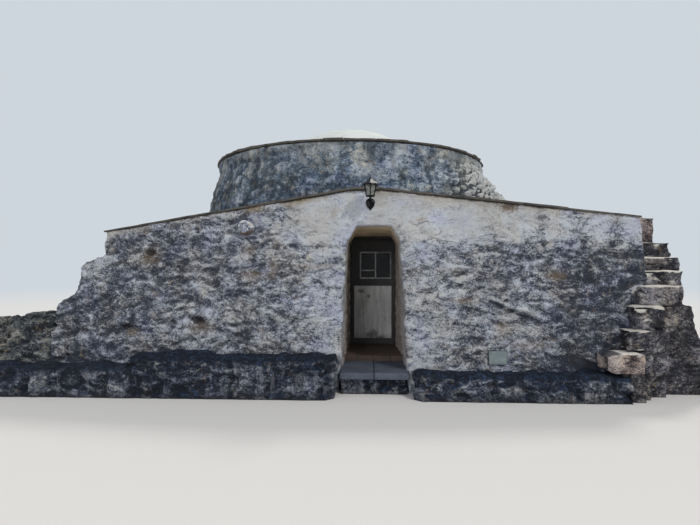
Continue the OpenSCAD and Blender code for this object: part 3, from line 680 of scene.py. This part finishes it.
# These tones are partly painted light: their blue cast is the blue of sky-lit shade.
drum_tones = ((50, 59, 69), (75, 90, 105), (109, 124, 138), (148, 159, 169), (184, 190, 194))
drum_wash = masonry_finish("drum_wash", drum_cover_and_light, 0.55, drum_tones, 1.1, drum_marks, 0.3)
drum_names = ("drum_front", "drum_right", "drum_back", "drum_left")
add_stones("drum_masonry", solid_of(drum_names), 0.031, drum_relief, 3, drum_names, "limewash",
           drum_wash, off_ground)


# The dome
# Lime plaster trowelled smooth over the last courses of the vault and its closing slab,
# whitewashed every few years, so that it is the cleanest face of the house.
def dome_relief(p, up):
    return 0.012 * noise.noise(p * 1.5) + 0.004 * noise.noise(p * 7.0), 0.5


dome_white, tree, place = new_material("dome_white")
cloud = clouds(place, 1.7, 6.0)
grit = clouds(place, 38.0, 5.0, 0.7)
skin = tree.mix_of(cloud.over(0.45, 0.68) * 0.5, srgb(196, 202, 198), srgb(176, 182, 180))
skin = skin.coated(grit.over(0.56, 0.74) * 0.35, 168, 168, 164)
skin = skin.coated(place.part("Z").over(3.98, 3.74) * cloud.over(0.3, 0.6) * 0.8, 120, 121, 122)
painted(tree, skin, 0.72 + grit * 0.2, (0.3, 0.01, grit))
dome_names = ("dome_front", "dome_back", "capstone")
add_stones("dome_plaster", solid_of(dome_names), 0.042, dome_relief, 2, dome_names,
           "dome_plaster", dome_white, off_ground)


# Benches along the front
# Rough boulders and slabs set in lime along the foot of the wall as seats, worn round, and
# nearly black on top, partly with lichen where rain stands and partly with painted shade.
def boulders(p, seed, size, lump):
    """Relief of round stones: how far the skin stands out, and 0 to 1 from the deepest joint."""
    q = Vector((p.x / size, p.y / (size * 1.4), p.z / (size * 1.3) + seed))
    q += noise.noise_vector(p * 2.3) * 0.35
    near, _ = noise.voronoi(q)
    face = step_up(near[1] - near[0], 0.0, 0.42)
    knob = noise.noise(p * 6.5)
    fine = noise.noise(p * 19.0)
    return (lump * (face - 0.80) + 0.030 * knob + 0.014 * fine - 0.012,
            min(max(0.62 * face + 0.25 * knob + 0.14 * fine + 0.15, 0.0), 1.0))


def bench_relief(p, up):
    out, height = boulders(p, 0.0, 0.55, 0.085)
    return (0.012 + out * (1.0 - 0.40 * step_up(up, 0.25, 0.8)),
            0.50 + (height - 0.52) * 0.8)


def facing_up(place):
    """1 where the surface faces up, 0 where it is upright, and -1 where it faces down."""
    return place.node("NewGeometry", give=1).part("Z")


def bench_marks(skin, place, speck):
    """Drips down the face, and the blue-black top: partly lichen and damp stone, partly painted
    shade, with bluish specks of painted sky sheen.
    """
    x, z = place.part("X"), place.part("Z")
    drip = clouds(place, 2.0, 5.0, 0.65, 0.4, (5.0, 5.0, 0.7))
    skin = skin.coated(drip.over(0.50, 0.60) * 0.6, 26, 31, 41)
    skin = skin.coated(drip.over(0.44, 0.36) * 0.35, 118, 121, 128)
    lower = x.over(-3.1, -3.5) * 0.14 + x.over(-0.4, 0.4) * 0.19
    edge = z + lower + (speck - 0.5) * 0.25
    # the upper band is darkened, partly lichen and partly painted shade
    skin = skin.coated(edge.over(0.45, 0.53) * 0.8, 22, 28, 38)
    skin = skin.coated(z.over(0.14, 0.02) * 0.5, 26, 26, 30)
    # the top: dark damp stone with painted shade, and bluish specks of painted sky sheen
    shaded_wet = place.mix_of((speck - (drip - 0.5) * 0.5).over(0.50, 0.60) * 0.7, srgb(12, 18, 29),
                       srgb(48, 68, 96))
    top = (facing_up(place) + (speck - 0.5)).over(0.34, 0.60)
    worn = x.over(-3.0, -3.5) * 0.28
    return place.mix_of(top * (0.96 - worn), skin, shaded_wet)


bench_tones = ((20, 24, 33), (44, 50, 63), (76, 83, 96), (112, 118, 128), (150, 154, 160))
bench_wash = masonry_finish("bench_wash", 0.55, 0.3, bench_tones, extra=bench_marks)
for side in ("left", "right"):
    name = f"bench_{side}"
    add_stones(name + "_stones", solid_of([name]), 0.021, bench_relief, 10, [name],
               "bench_stone", bench_wash)


# Stair up the right side
# Single long stones built into a sloping rubble mass, with no two alike; the lowest is a
# smoother block. Their treads are painted pale, a painted sunlight on their tops.
def lit_treads(skin, place, speck):
    """Treads painted pale: painted sunlight on their tops."""
    top = (facing_up(place) + (speck - 0.5) * 0.7).over(0.25, 0.55)
    return skin.coated(top * 0.85, 214, 210, 200)


def first_marks(skin, place, speck):
    """Blue-black growth on the top, with a painted highlight in its middle."""
    top = (facing_up(place) + (speck - 0.5) * 0.8).over(0.40, 0.75)
    # painted highlight: a pale spot in the middle of the top
    bare = size_of(place.part("X") - 3.30).over(0.17, 0.09)
    skin = skin.coated(top * 0.8, 44, 54, 70)
    return skin.coated(top * bare, 232, 228, 218)


step_tones = ((28, 29, 34), (54, 55, 62), (86, 86, 91), (122, 120, 121), (160, 156, 151))
step_wash = masonry_finish("step_wash", 0.56, 0.3, step_tones, extra=lit_treads, lips=0.6)
first_tones = ((40, 34, 36), (84, 78, 80), (124, 115, 113), (158, 147, 142), (190, 180, 170))
first_wash = masonry_finish("first_step_wash", 0.36, 0.3, first_tones, extra=first_marks,
                            lips=0.4)
first_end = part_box("step_1")[0].x
for number in range(1, 9):
    def step_relief(p, up):
        out, height = boulders(p, number * 3.7, 0.7, 0.05)
        flat = 0.35 if abs(up) > 0.7 else 1.0
        # the lowest one narrows towards its left end
        if number == 1:
            tapered = step_up(p.x, first_end + 0.16, first_end)
            return out * 0.6 * flat - 0.055 * tapered, height
        return (out + 0.022) * flat, height

    name = f"step_{number}"
    add_stones(name + "_stone", solid_of([name]), 0.02, step_relief, 16 if number == 1 else 3,
               [name], "rubble", first_wash if number in (1, 8) else step_wash, off_ground)


def rubble_relief(p, up):
    out, height = boulders(p, 0.0, 0.40, 0.050)
    return out + 0.034, 0.50 + (height - 0.52) * 0.6


stair_wash = masonry_finish("stair_wash", 0.50, 0.35, step_tones, lips=0.6)
add_stones("stair_rubble", solid_of(["stair_base"]), 0.024, rubble_relief, 3, ["stair_base"],
           "rubble", stair_wash)


# Garden wall that runs off to the left
# Dry stones with a rough limewash, lower than the buttress it starts from.
def garden_relief(p, up):
    out, height = draped_stones(p, 0.30, 0.19, 0.045, 0.015)
    return out - 0.006, height


# These tones are darker than the other walls': painted shade over the whole wall.
shaded_far_tones = ((24, 27, 32), (46, 51, 57), (72, 79, 83), (104, 108, 108), (138, 138, 132))
far_wash = masonry_finish("far_wash", 0.5, 0.35, shaded_far_tones)
add_stones("garden_stones", solid_of(["garden_wall"]), 0.026, garden_relief, 4,
           ["garden_wall"], "rubble", far_wash)


# Stone that juts from the front
# A bond stone left long when the wall was built, once used to tie or hang things.
def bond_relief(p, up):
    return 0.022 * noise.noise(p * 7.0) + 0.008 * noise.noise(p * 21.0) - 0.008, 0.62


def bond_top_light(skin, place, speck):
    """Top painted near white, a painted sunlight, and a darker brown underside."""
    up = facing_up(place)
    skin = skin.coated(up.over(-0.1, -0.5) * 0.7, 112, 84, 52)
    return skin.coated((up + (speck - 0.5) * 1.5).over(0.2, 0.45) * 0.9, 222, 222, 218)


bond_wash = masonry_finish("bond_wash", 0.5, extra=bond_top_light)
add_stones("bond_stone", solid_of(["jutting_stone"]), 0.009, bond_relief, 6,
           ["jutting_stone"], "limewash", bond_wash, off_ground)


# Coping slabs
# Thin dark limestone slabs bedded along the top of the front and round the drum, each a
# little different in length, thickness and overhang.
slab_dark, tree, place = new_material("slab_dark")
cloud = clouds(place, 5.0, 6.0, 0.7)
grit = clouds(place, 48.0, 5.0, 0.75)
skin = tree.mix_of(cloud.over(0.35, 0.65) * 0.6 + carried(tree, "own") * 0.4, srgb(48, 45, 41),
                   srgb(92, 87, 80))
skin = skin.coated(grit.over(0.5, 0.7) * 0.6, 44, 43, 42)
painted(tree, skin, 0.85 + grit * 0.1, (0.5, 0.012, grit))


def chance(number, kind):
    """A repeatable random number from 0 to 1."""
    return noise.cell(Vector((number, kind, 0.0)) * 7.31) * 0.5 + 0.5


def cut_up(start, end, least, spread, shortest, kind, number=0):
    """Cuts a run into random lengths, and gives the number, start and length of each. A rest under
    the shortest stays with the length before it."""
    while start < end - shortest / 2:
        length = least + spread * chance(number, kind)
        if end - start - length < shortest:
            length = end - start
        yield number, start, length
        start += length
        number += 1


def add_slab(shape, length, depth, height, bend, seed, cuts=4):
    """One rough slab, made flat and then bent to its place by the function."""
    slab = bmesh.new()
    own = slab.verts.layers.float.new("own")
    bmesh.ops.create_cube(slab, size=1.0)
    bmesh.ops.subdivide_edges(slab, edges=slab.edges[:], cuts=cuts, use_grid_fill=True)
    for v in slab.verts:
        v[own] = chance(seed, 9)
        p = Vector((v.co.x * length, v.co.y * depth, v.co.z * height))
        rough = noise.noise_vector(Vector((p.x * 6 + seed, p.y * 6, seed)))
        edge = max(abs(v.co.x), abs(v.co.y)) > 0.49
        p += Vector((rough.x * 0.02 * edge, rough.y * 0.02 * edge,
                     rough.z * height * (0.24 if v.co.z > 0 else 0.10)))
        if edge:
            p.z *= 0.86
        v.co = bend(p)
    join(shape, slab)


front_lo, front_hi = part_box("front_coping")
coping = bmesh.new()
for number, spot, length in cut_up(front_lo.x, front_hi.x, 0.30, 0.34, 0.2, 1):
    proud = 0.030 * (chance(number, 2) - 0.6)
    thick = 0.024 + 0.014 * chance(number, 3)

    def lay(p):
        x = spot + length / 2 + p.x
        return Vector((x, (front_lo.y + front_hi.y) / 2 + p.y + proud,
                       roof_height(x) + thick / 2 + p.z - 0.004))

    add_slab(coping, length - 0.006, front_hi.y - front_lo.y, thick, lay, number * 3.1)
add_piece("front_coping_slabs", coping, "house", ("front_coping",), "coping_stone", slab_dark)

ring_lo, ring_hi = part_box("drum_coping")
ring_depth = 0.39
ring_middle = (ring_hi.x - ring_lo.x) / 2 - ring_depth / 2
slab_bend = 2.7
ring = bmesh.new()
for number, turn, angle in cut_up(0.0, 2 * math.pi, 0.11, 0.11, 0.07, 4, number + 1):
    proud = 0.030 * (chance(number, 5) - 0.8)
    thick = 0.032 + 0.012 * chance(number, 6)

    def curl(p):
        a = turn + angle / 2 + p.x / slab_bend
        r = ring_middle + p.y + proud
        return Vector((middle_x + r * math.cos(a), r * math.sin(a), ring_lo.z + thick / 2 + p.z))

    add_slab(ring, (angle - 0.003) * slab_bend, ring_depth, thick, curl, number * 1.7)
bmesh.ops.recalc_face_normals(ring, faces=ring.faces)
add_piece("drum_coping_slabs", ring, "house", ("drum_coping",), "coping_stone", slab_dark)


# Roof slabs of the block
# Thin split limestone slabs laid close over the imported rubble, falling both ways from the ridge.
roof_grey, tree, place = new_material("roof_grey")
cloud = clouds(place, 2.2, 6.0, 0.66)
grit = clouds(place, 34.0, 5.0, 0.75)
patch = clouds(place, 1.1, 5.0, 0.6, 0.8)
skin = tree.mix_of(cloud.over(0.36, 0.64) * 0.5 + carried(tree, "own") * 0.5,
                   srgb(112, 109, 104), srgb(170, 167, 160))
skin = skin.coated(grit.over(0.48, 0.66) * 0.7, 86, 86, 88)
skin = skin.coated(patch.over(0.54, 0.64) * 0.5, 70, 69, 68)
painted(tree, skin, 0.86 + grit * 0.1, (0.5, 0.015, grit))

roof_lo, roof_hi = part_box("roof_paving")
roof_gap = 0.012
drum_reach = 2.55
paving = bmesh.new()
number += 1
for _, across, depth in cut_up(roof_lo.y, roof_hi.y, 0.34, 0.16, 0.2, 21):
    for number, spot, length in cut_up(roof_lo.x, roof_hi.x, 0.34, 0.42, 0.25, 22, number + 1):
        middle = Vector((spot + length / 2, across + depth / 2, 0.0))
        if from_middle(middle) < drum_reach:
            continue
        thick = 0.026 + 0.010 * chance(number, 23)

        def settle(p):
            p = p + middle
            p.z += roof_height(p.x) + 0.003 + thick / 2
            return p

        add_slab(paving, length - roof_gap, depth - roof_gap, thick, settle, number * 2.3, 3)
bmesh.ops.recalc_face_normals(paving, faces=paving.faces)
add_piece("roof_slabs", paving, "house", ("roof_paving",), "roof_stone", roof_grey)


# Floors
# Worn stone slabs at the threshold, and brown clay tiles in the passage and the room.
def floor_finish(name, first, second, tile, joint):
    """Square tiles with dark joints, clouded between two tones."""
    made, tree, place = new_material(name)
    cloud = clouds(place, 4.5, 6.0, 0.7)
    grit = clouds(place, 60.0, 4.0, 0.5)
    lines = tree.node("TexBrick", {"offset": 0.0, "squash": 1.0}, {
        "Vector": place, "Color1": (1.0, 1.0, 1.0), "Color2": (0.72, 0.72, 0.72),
        "Mortar": (0.0, 0.0, 0.0), "Scale": 1.0, "Mortar Size": joint, "Mortar Smooth": 0.3,
        "Brick Width": tile, "Row Height": tile})
    skin = tree.mix_of(cloud.over(0.35, 0.66), srgb(*first), srgb(*second))
    skin = skin.coated(grit.over(0.5, 0.7) * 0.4, 46, 42, 40)
    skin = tree.mix_of(1.0, skin, tree.mix_of(0.65, (1.0, 1.0, 1.0), lines), "MULTIPLY")
    painted(tree, skin, 0.55 + cloud * 0.35, (0.4, 0.006, lines + cloud * 0.3 + grit * 0.1))
    return made


def worn_copy(names, edge, segments=2):
    """The CAD solids as they are, with their edges worn round."""
    shape = solid_of(names)
    bmesh.ops.dissolve_limit(shape, angle_limit=math.radians(1), verts=shape.verts,
                             edges=shape.edges)
    sharp = [e for e in shape.edges if len(e.link_faces) == 2 and e.calc_face_angle() > 0.5]
    bmesh.ops.bevel(shape, geom=sharp, offset=edge, offset_type="OFFSET", affect="EDGES",
                    segments=segments, profile=0.5, material=-1, clamp_overlap=True)
    return shape


clay = floor_finish("clay_tiles", (58, 46, 38), (84, 68, 56), 0.25, 0.006)
# The blue-grey of the threshold slabs is a painted reflection of the sky.
sky_blue_slate = floor_finish("threshold_stone", (58, 66, 80), (80, 88, 102), 2.0, 0.0)
slabs = worn_copy(["threshold_slabs"], 0.014, 3)
add_piece("threshold", slabs, "house", ("threshold_slabs",), "sill_stone", sky_blue_slate, False)

sill_lo, sill_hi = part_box("threshold_slabs")
sill_back = (0, sill_hi.y - 0.001, 0)
tiles = solid_of(["passage_floor"], [(sill_back, (0, -1, 0))])
add_piece("passage_tiles", tiles, "house", ("passage_floor",), "floor_stone", clay, False)


def repaint(node, material):
    """Gives its material to a CAD node that is shown as it is."""
    nodes[node].data.materials.clear()
    nodes[node].data.materials.append(material)


repaint("room_floor", clay)


def footing_relief(p, up):
    out, height = boulders(p, 2.0, 0.38, 0.05)
    return (out if p.z < sill_lo.z - 0.02 else 0.0), height


footing = solid_of(["passage_floor"], [(sill_back, (0, 1, 0))])
add_stones("threshold_footing", footing, 0.02, footing_relief, 2, ["passage_floor"],
           "floor_stone", bench_wash)


# Door frame, leaf and their fittings
# Welded steel sections painted nearly black, with a glazed upper light and a grey steel sheet
# below. Rust and dust show at the foot.
def metal_finish(name, first, second, rust, rough=0.5, shine=0.5, extra=None):
    """Old paint on metal between two tones, with rust, and dirt at the foot of the door;
    extra(skin, place, cloud) may add what only one piece has."""
    made, tree, place = new_material(name)
    cloud = clouds(place, 9.0, 6.0, 0.7)
    grit = clouds(place, 120.0, 4.0, 0.5)
    run = clouds(place, 2.0, 5.0, 0.5, 0.0, (14.0, 14.0, 1.1))
    skin = tree.mix_of(run.over(0.35, 0.68), srgb(*first), srgb(*second))
    worn = (cloud * 0.6 + grit * 0.4).over(0.56, 0.64) * rust
    skin = skin.coated(worn, 92, 58, 38)
    foot = place.part("Z").over(0.62, 0.40) * (0.35 + cloud * 0.6)
    skin = skin.coated(foot, 44, 41, 38)
    if extra:
        skin = extra(skin, place, cloud)
    painted(tree, skin, rough + cloud * 0.25, (0.25, 0.002, grit + cloud),
            {"Specular IOR Level": shine})
    return made


def sheet_stains(skin, place, cloud):
    """Scuffs, a bruise near the foot, and dirt that ran down from the rail."""
    x, z = place.part("X"), place.part("Z")
    run = clouds(place, 2.0, 5.0, 0.6, 0.3, (9.0, 1.0, 0.7))
    skin = skin.coated(run.over(0.50, 0.60) * z.over(0.6, 1.35) * 0.40, 206, 206, 202)
    dirt = (size_of(x + 0.01) - (1.15 - z) * 0.5 + (cloud - 0.5) * 0.5).over(0.02, 0.16)
    dirt = dirt * z.over(0.62, 0.80) * z.over(1.32, 1.1)
    skin = skin.coated(dirt * 0.30, 92, 92, 92)
    bruise = marked(place, cloud, ((0.0, 0.56, 0.17, 0.12), (0.10, 0.50, 0.12, 0.06),
                                   (-0.08, 1.22, 0.03, 0.03), (-0.20, 1.30, 0.07, 0.05)))
    return skin.coated(bruise * 0.7, 52, 50, 48)


def bar_dirt(skin, place, cloud):
    """Soot, thickest away from the hinges."""
    far = place.part("X").over(-0.20, 0.20) * 0.45 + cloud.over(0.42, 0.60) * 0.45
    return skin.coated(far, 74, 74, 72)


black_paint = metal_finish("black_paint", (26, 26, 27), (44, 42, 40), 0.5)
grey_paint = metal_finish("grey_paint", (164, 167, 170), (192, 194, 195), 0.15,
                          extra=bar_dirt)
grey_sheet = metal_finish("grey_sheet", (158, 160, 160), (190, 190, 186), 0.25,
                          extra=sheet_stains)
for name, node, edge, body, slot, paint in (
        ("frame_steel", "door_frame", 0.003, "house", "dark_metal", black_paint),
        ("leaf_steel", "door_leaf", 0.003, "door", "dark_metal", black_paint),
        ("leaf_sheet", "door_sheet", 0.001, "door", "sheet_metal", grey_sheet),
        ("leaf_bars", "glazing_bars", 0.002, "door", "grey_metal", grey_paint),
        ("leaf_latch", "door_latch", 0.001, "door", "dark_metal", black_paint)):
    add_piece(name, worn_copy([node], edge), body, [node], slot, paint, False)

dusty_glass, tree, place = new_material("dusty_glass")
dust = clouds(place, 14.0, 5.0, 0.5)
skin = tree.mix_of(dust.over(0.45, 0.7) * 0.5, srgb(16, 18, 19), srgb(44, 46, 46))
painted(tree, skin, 0.12 + dust * 0.3, None,
        {"IOR": 1.5, "Specular IOR Level": 0.22, "Alpha": 0.72 + dust * 0.2})
repaint("door_glass", dusty_glass)


# Utility cover on the front
# A grey-green plastic lid over the water meter's box, let into the limewash.
cover_green, tree, place = new_material("cover_green")
cloud = clouds(place, 16.0, 5.0, 0.5)
skin = tree.mix_of(cloud.over(0.35, 0.7), srgb(96, 110, 112), srgb(116, 127, 128))
painted(tree, skin, 0.5 + cloud * 0.2)
add_piece("cover_lid", worn_copy(["utility_cover"], 0.002), "house", ["utility_cover"],
          "cover_plastic", cover_green, False)


# Wall lantern
# A cast aluminium carriage lantern painted black: six leaning panes under a flared six-sided
# roof, on an arm that springs from a teardrop plate screwed to the wall.
def capped(shape):
    """Fills the open ends."""
    bmesh.ops.holes_fill(shape, edges=[e for e in shape.edges if e.is_boundary], sides=0)


def turned(shape, outline, sides, turn=0.0):
    """A closed form about the lamp's axis with so many sides, from its outline (radius, z)."""
    aim = Vector((math.cos(turn), math.sin(turn), 0.0))
    line = [shape.verts.new(lamp + aim * radius + Vector((0, 0, z))) for radius, z in outline]
    edges = [shape.edges.new(pair) for pair in zip(line, line[1:])]
    bmesh.ops.spin(shape, geom=line + edges, cent=lamp, axis=(0, 0, 1), angle=2 * math.pi,
                   steps=sides, use_merge=True)
    capped(shape)


def drawn_out(shape, rim, move):
    """Extrudes a closed rim, moves the new one by the matrix, and gives its edges."""
    made = bmesh.ops.extrude_edge_only(shape, edges=rim)["geom"]
    points = [v for v in made if isinstance(v, bmesh.types.BMVert)]
    bmesh.ops.transform(shape, matrix=move, verts=points)
    return [e for e in made if isinstance(e, bmesh.types.BMEdge) and set(e.verts) <= set(points)]


def swept(shape, line, thick, sides=10):
    """A round bar along a line of points, thinned towards its end if thick is a pair."""
    first, last = thick if isinstance(thick, tuple) else (thick, thick)
    ring = bmesh.ops.create_circle(shape, segments=sides, radius=1.0)["verts"]
    rim = [e for e in shape.edges if e.is_wire]
    before = Matrix()
    for i, at in enumerate(line):
        ahead = (line[min(i + 1, len(line) - 1)] - line[max(i - 1, 0)]).normalized()
        across = Vector((1.0, 0.0, 0.0)).cross(ahead).normalized()
        wide = across.cross(ahead)
        size = first + (last - first) * i / (len(line) - 1)
        here = (Matrix.Translation(at) @ Matrix((wide, across, ahead)).transposed().to_4x4()
                @ Matrix.Scale(size, 4))
        if i == 0:
            bmesh.ops.transform(shape, matrix=here, verts=ring)
        else:
            rim = drawn_out(shape, rim, here @ before.inverted())
        before = here
    capped(shape)


lantern_black = metal_finish("lantern_black", (5, 5, 7), (11, 11, 13), 0.0, 0.22, 0.14)
glass_lo, glass_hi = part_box("lantern_glass")
lamp = Vector(((glass_lo.x + glass_hi.x) / 2, (glass_lo.y + glass_hi.y) / 2, glass_lo.z))
tall = glass_hi.z - glass_lo.z
head, foot = (glass_hi.x - glass_lo.x) / 2, 0.062
sides = 6
half_side = math.pi / sides


def around(angle, radius, height):
    """A place about the lamp's axis."""
    return lamp + Vector((radius * math.cos(angle), radius * math.sin(angle), height))


# Foot, roof and finial, and six posts with a sagging rail between their heads
cage = bmesh.new()
turned(cage, ((0.010, -0.034), (0.016, -0.028), (0.012, -0.018), (0.050, -0.014),
              (0.070, -0.010), (0.072, -0.003), (0.064, 0.003), (0.056, 0.003)), sides, half_side)
turned(cage, ((head - 0.010, tall - 0.006), (head + 0.036, tall - 0.014),
              (head + 0.040, tall - 0.010), (head + 0.030, tall + 0.002),
              (head + 0.008, tall + 0.016), (0.060, tall + 0.044), (0.028, tall + 0.070),
              (0.017, tall + 0.078), (0.021, tall + 0.083), (0.015, tall + 0.088)),
       sides, half_side)
turned(cage, ((0.007, tall + 0.084), (0.012, tall + 0.090), (0.014, tall + 0.096),
              (0.009, tall + 0.102), (0.003, tall + 0.106)), 12)
for i in range(sides):
    a = half_side * (2 * i + 1)
    swept(cage, [around(a, foot + 0.001, 0.0), around(a, head + 0.001, tall)], 0.0075, 8)
    swept(cage, [around(a, head - 0.002, tall - 0.008),
                 around(a + half_side, head * 0.80, tall - 0.020),
                 around(a + 2 * half_side, head - 0.002, tall - 0.008)], 0.003, 6)
bmesh.ops.recalc_face_normals(cage, faces=cage.faces)
add_piece("lantern_frame", cage, "house", ("lantern_cage",), "lantern_metal", lantern_black,
          False)

# Frosted panes, and the bulb inside them
panes = bmesh.new()
turned(panes, ((foot - 0.003, 0.0), (head - 0.003, tall - 0.004), (head - 0.006, tall - 0.004),
               (foot - 0.006, 0.004)), sides, half_side)
turned(panes, ((0.008, 0.003), (0.014, 0.020), (0.024, 0.055), (0.025, 0.080), (0.016, 0.104),
               (0.004, 0.112)), 16)
bmesh.ops.recalc_face_normals(panes, faces=panes.faces)
frosted, tree, place = new_material("frosted_glass")
dust = clouds(place, 22.0, 5.0)
skin = tree.mix_of(dust.over(0.4, 0.65), srgb(150, 156, 150), srgb(96, 98, 92))
painted(tree, skin, 0.22 + dust * 0.3, None, {"IOR": 1.5, "Alpha": 0.20 + dust * 0.4})
add_piece("lantern_panes", panes, "house", ("lantern_glass",), "lantern_glass", frosted, False)

plate_z = lamp.z - 0.064
wall = Matrix(((1, 0, 0, lamp.x), (0, front_lean, -1, front_foot + front_lean * plate_z),
               (0, 1, 0, plate_z), (0, 0, 0, 1)))


def on_wall(x, z, proud):
    """A place by the plate's middle: along the leaning front, up it and proud of it."""
    return wall @ Vector((x, z, proud))


# The teardrop plate: a round top and a drawn tip, stepped up in rings from the wall
plate = bmesh.new()
arc = [math.radians(-20 + 220 * i / 24) for i in range(25)]
outline = [(0.067 * math.cos(a), 0.062 * math.sin(a)) for a in arc]
outline += [(-0.054, -0.052), (-0.028, -0.086), (-0.008, -0.108), (0.0, -0.114),
            (0.008, -0.108), (0.028, -0.086), (0.054, -0.052)]
plate.faces.new([plate.verts.new((x, z, 0.0)) for x, z in outline])
rim = plate.edges[:]
scale, proud = 1.0, 0.0
for next_scale, next_proud in ((1.0, 0.007), (0.93, 0.010), (0.80, 0.010), (0.74, 0.014),
                               (0.30, 0.017)):
    shrink = next_scale / scale
    move = Matrix.Translation((0, 0, next_proud - proud)) @ Matrix.Diagonal((shrink, shrink, 1, 1))
    rim = drawn_out(plate, rim, move)
    scale, proud = next_scale, next_proud
capped(plate)
bmesh.ops.transform(plate, matrix=wall, verts=plate.verts)
# The arm runs out from the plate and turns up into the lantern's foot
start = on_wall(0.0, 0.030, 0.008)
bend = 0.036
arm = [start, Vector((lamp.x, lamp.y + 0.070, start.z - 0.002))]
for i in range(9):
    a = math.radians(10 * i)
    arm.append(Vector((lamp.x, lamp.y + bend * (1 - math.sin(a)),
                       start.z - 0.002 + bend * 0.8 * (1 - math.cos(a)))))
arm.append(Vector((lamp.x, lamp.y, lamp.z - 0.010)))
swept(plate, arm, 0.0085)
# A thinner scroll springs from the plate's tip and curls in under the arm
scroll = [on_wall(0.0, -0.075, 0.006)]
for i in range(28):
    a = math.radians(-90 + 20 * i)
    size = 0.042 - 0.0011 * i
    scroll.append(Vector((lamp.x, start.y - 0.060 - size * math.cos(a),
                          start.z - 0.040 + size * math.sin(a))))
swept(plate, scroll, (0.0065, 0.0035), 8)
# Screw heads
for x, z in ((0.034, 0.030), (-0.034, 0.030), (0.0, -0.088)):
    bmesh.ops.create_uvsphere(plate, u_segments=10, v_segments=6, radius=0.0048,
                              matrix=Matrix.Translation(on_wall(x, z, 0.011)))
bmesh.ops.recalc_face_normals(plate, faces=plate.faces)
add_piece("lantern_arm", plate, "house", ("lantern_bracket",), "lantern_metal", lantern_black)
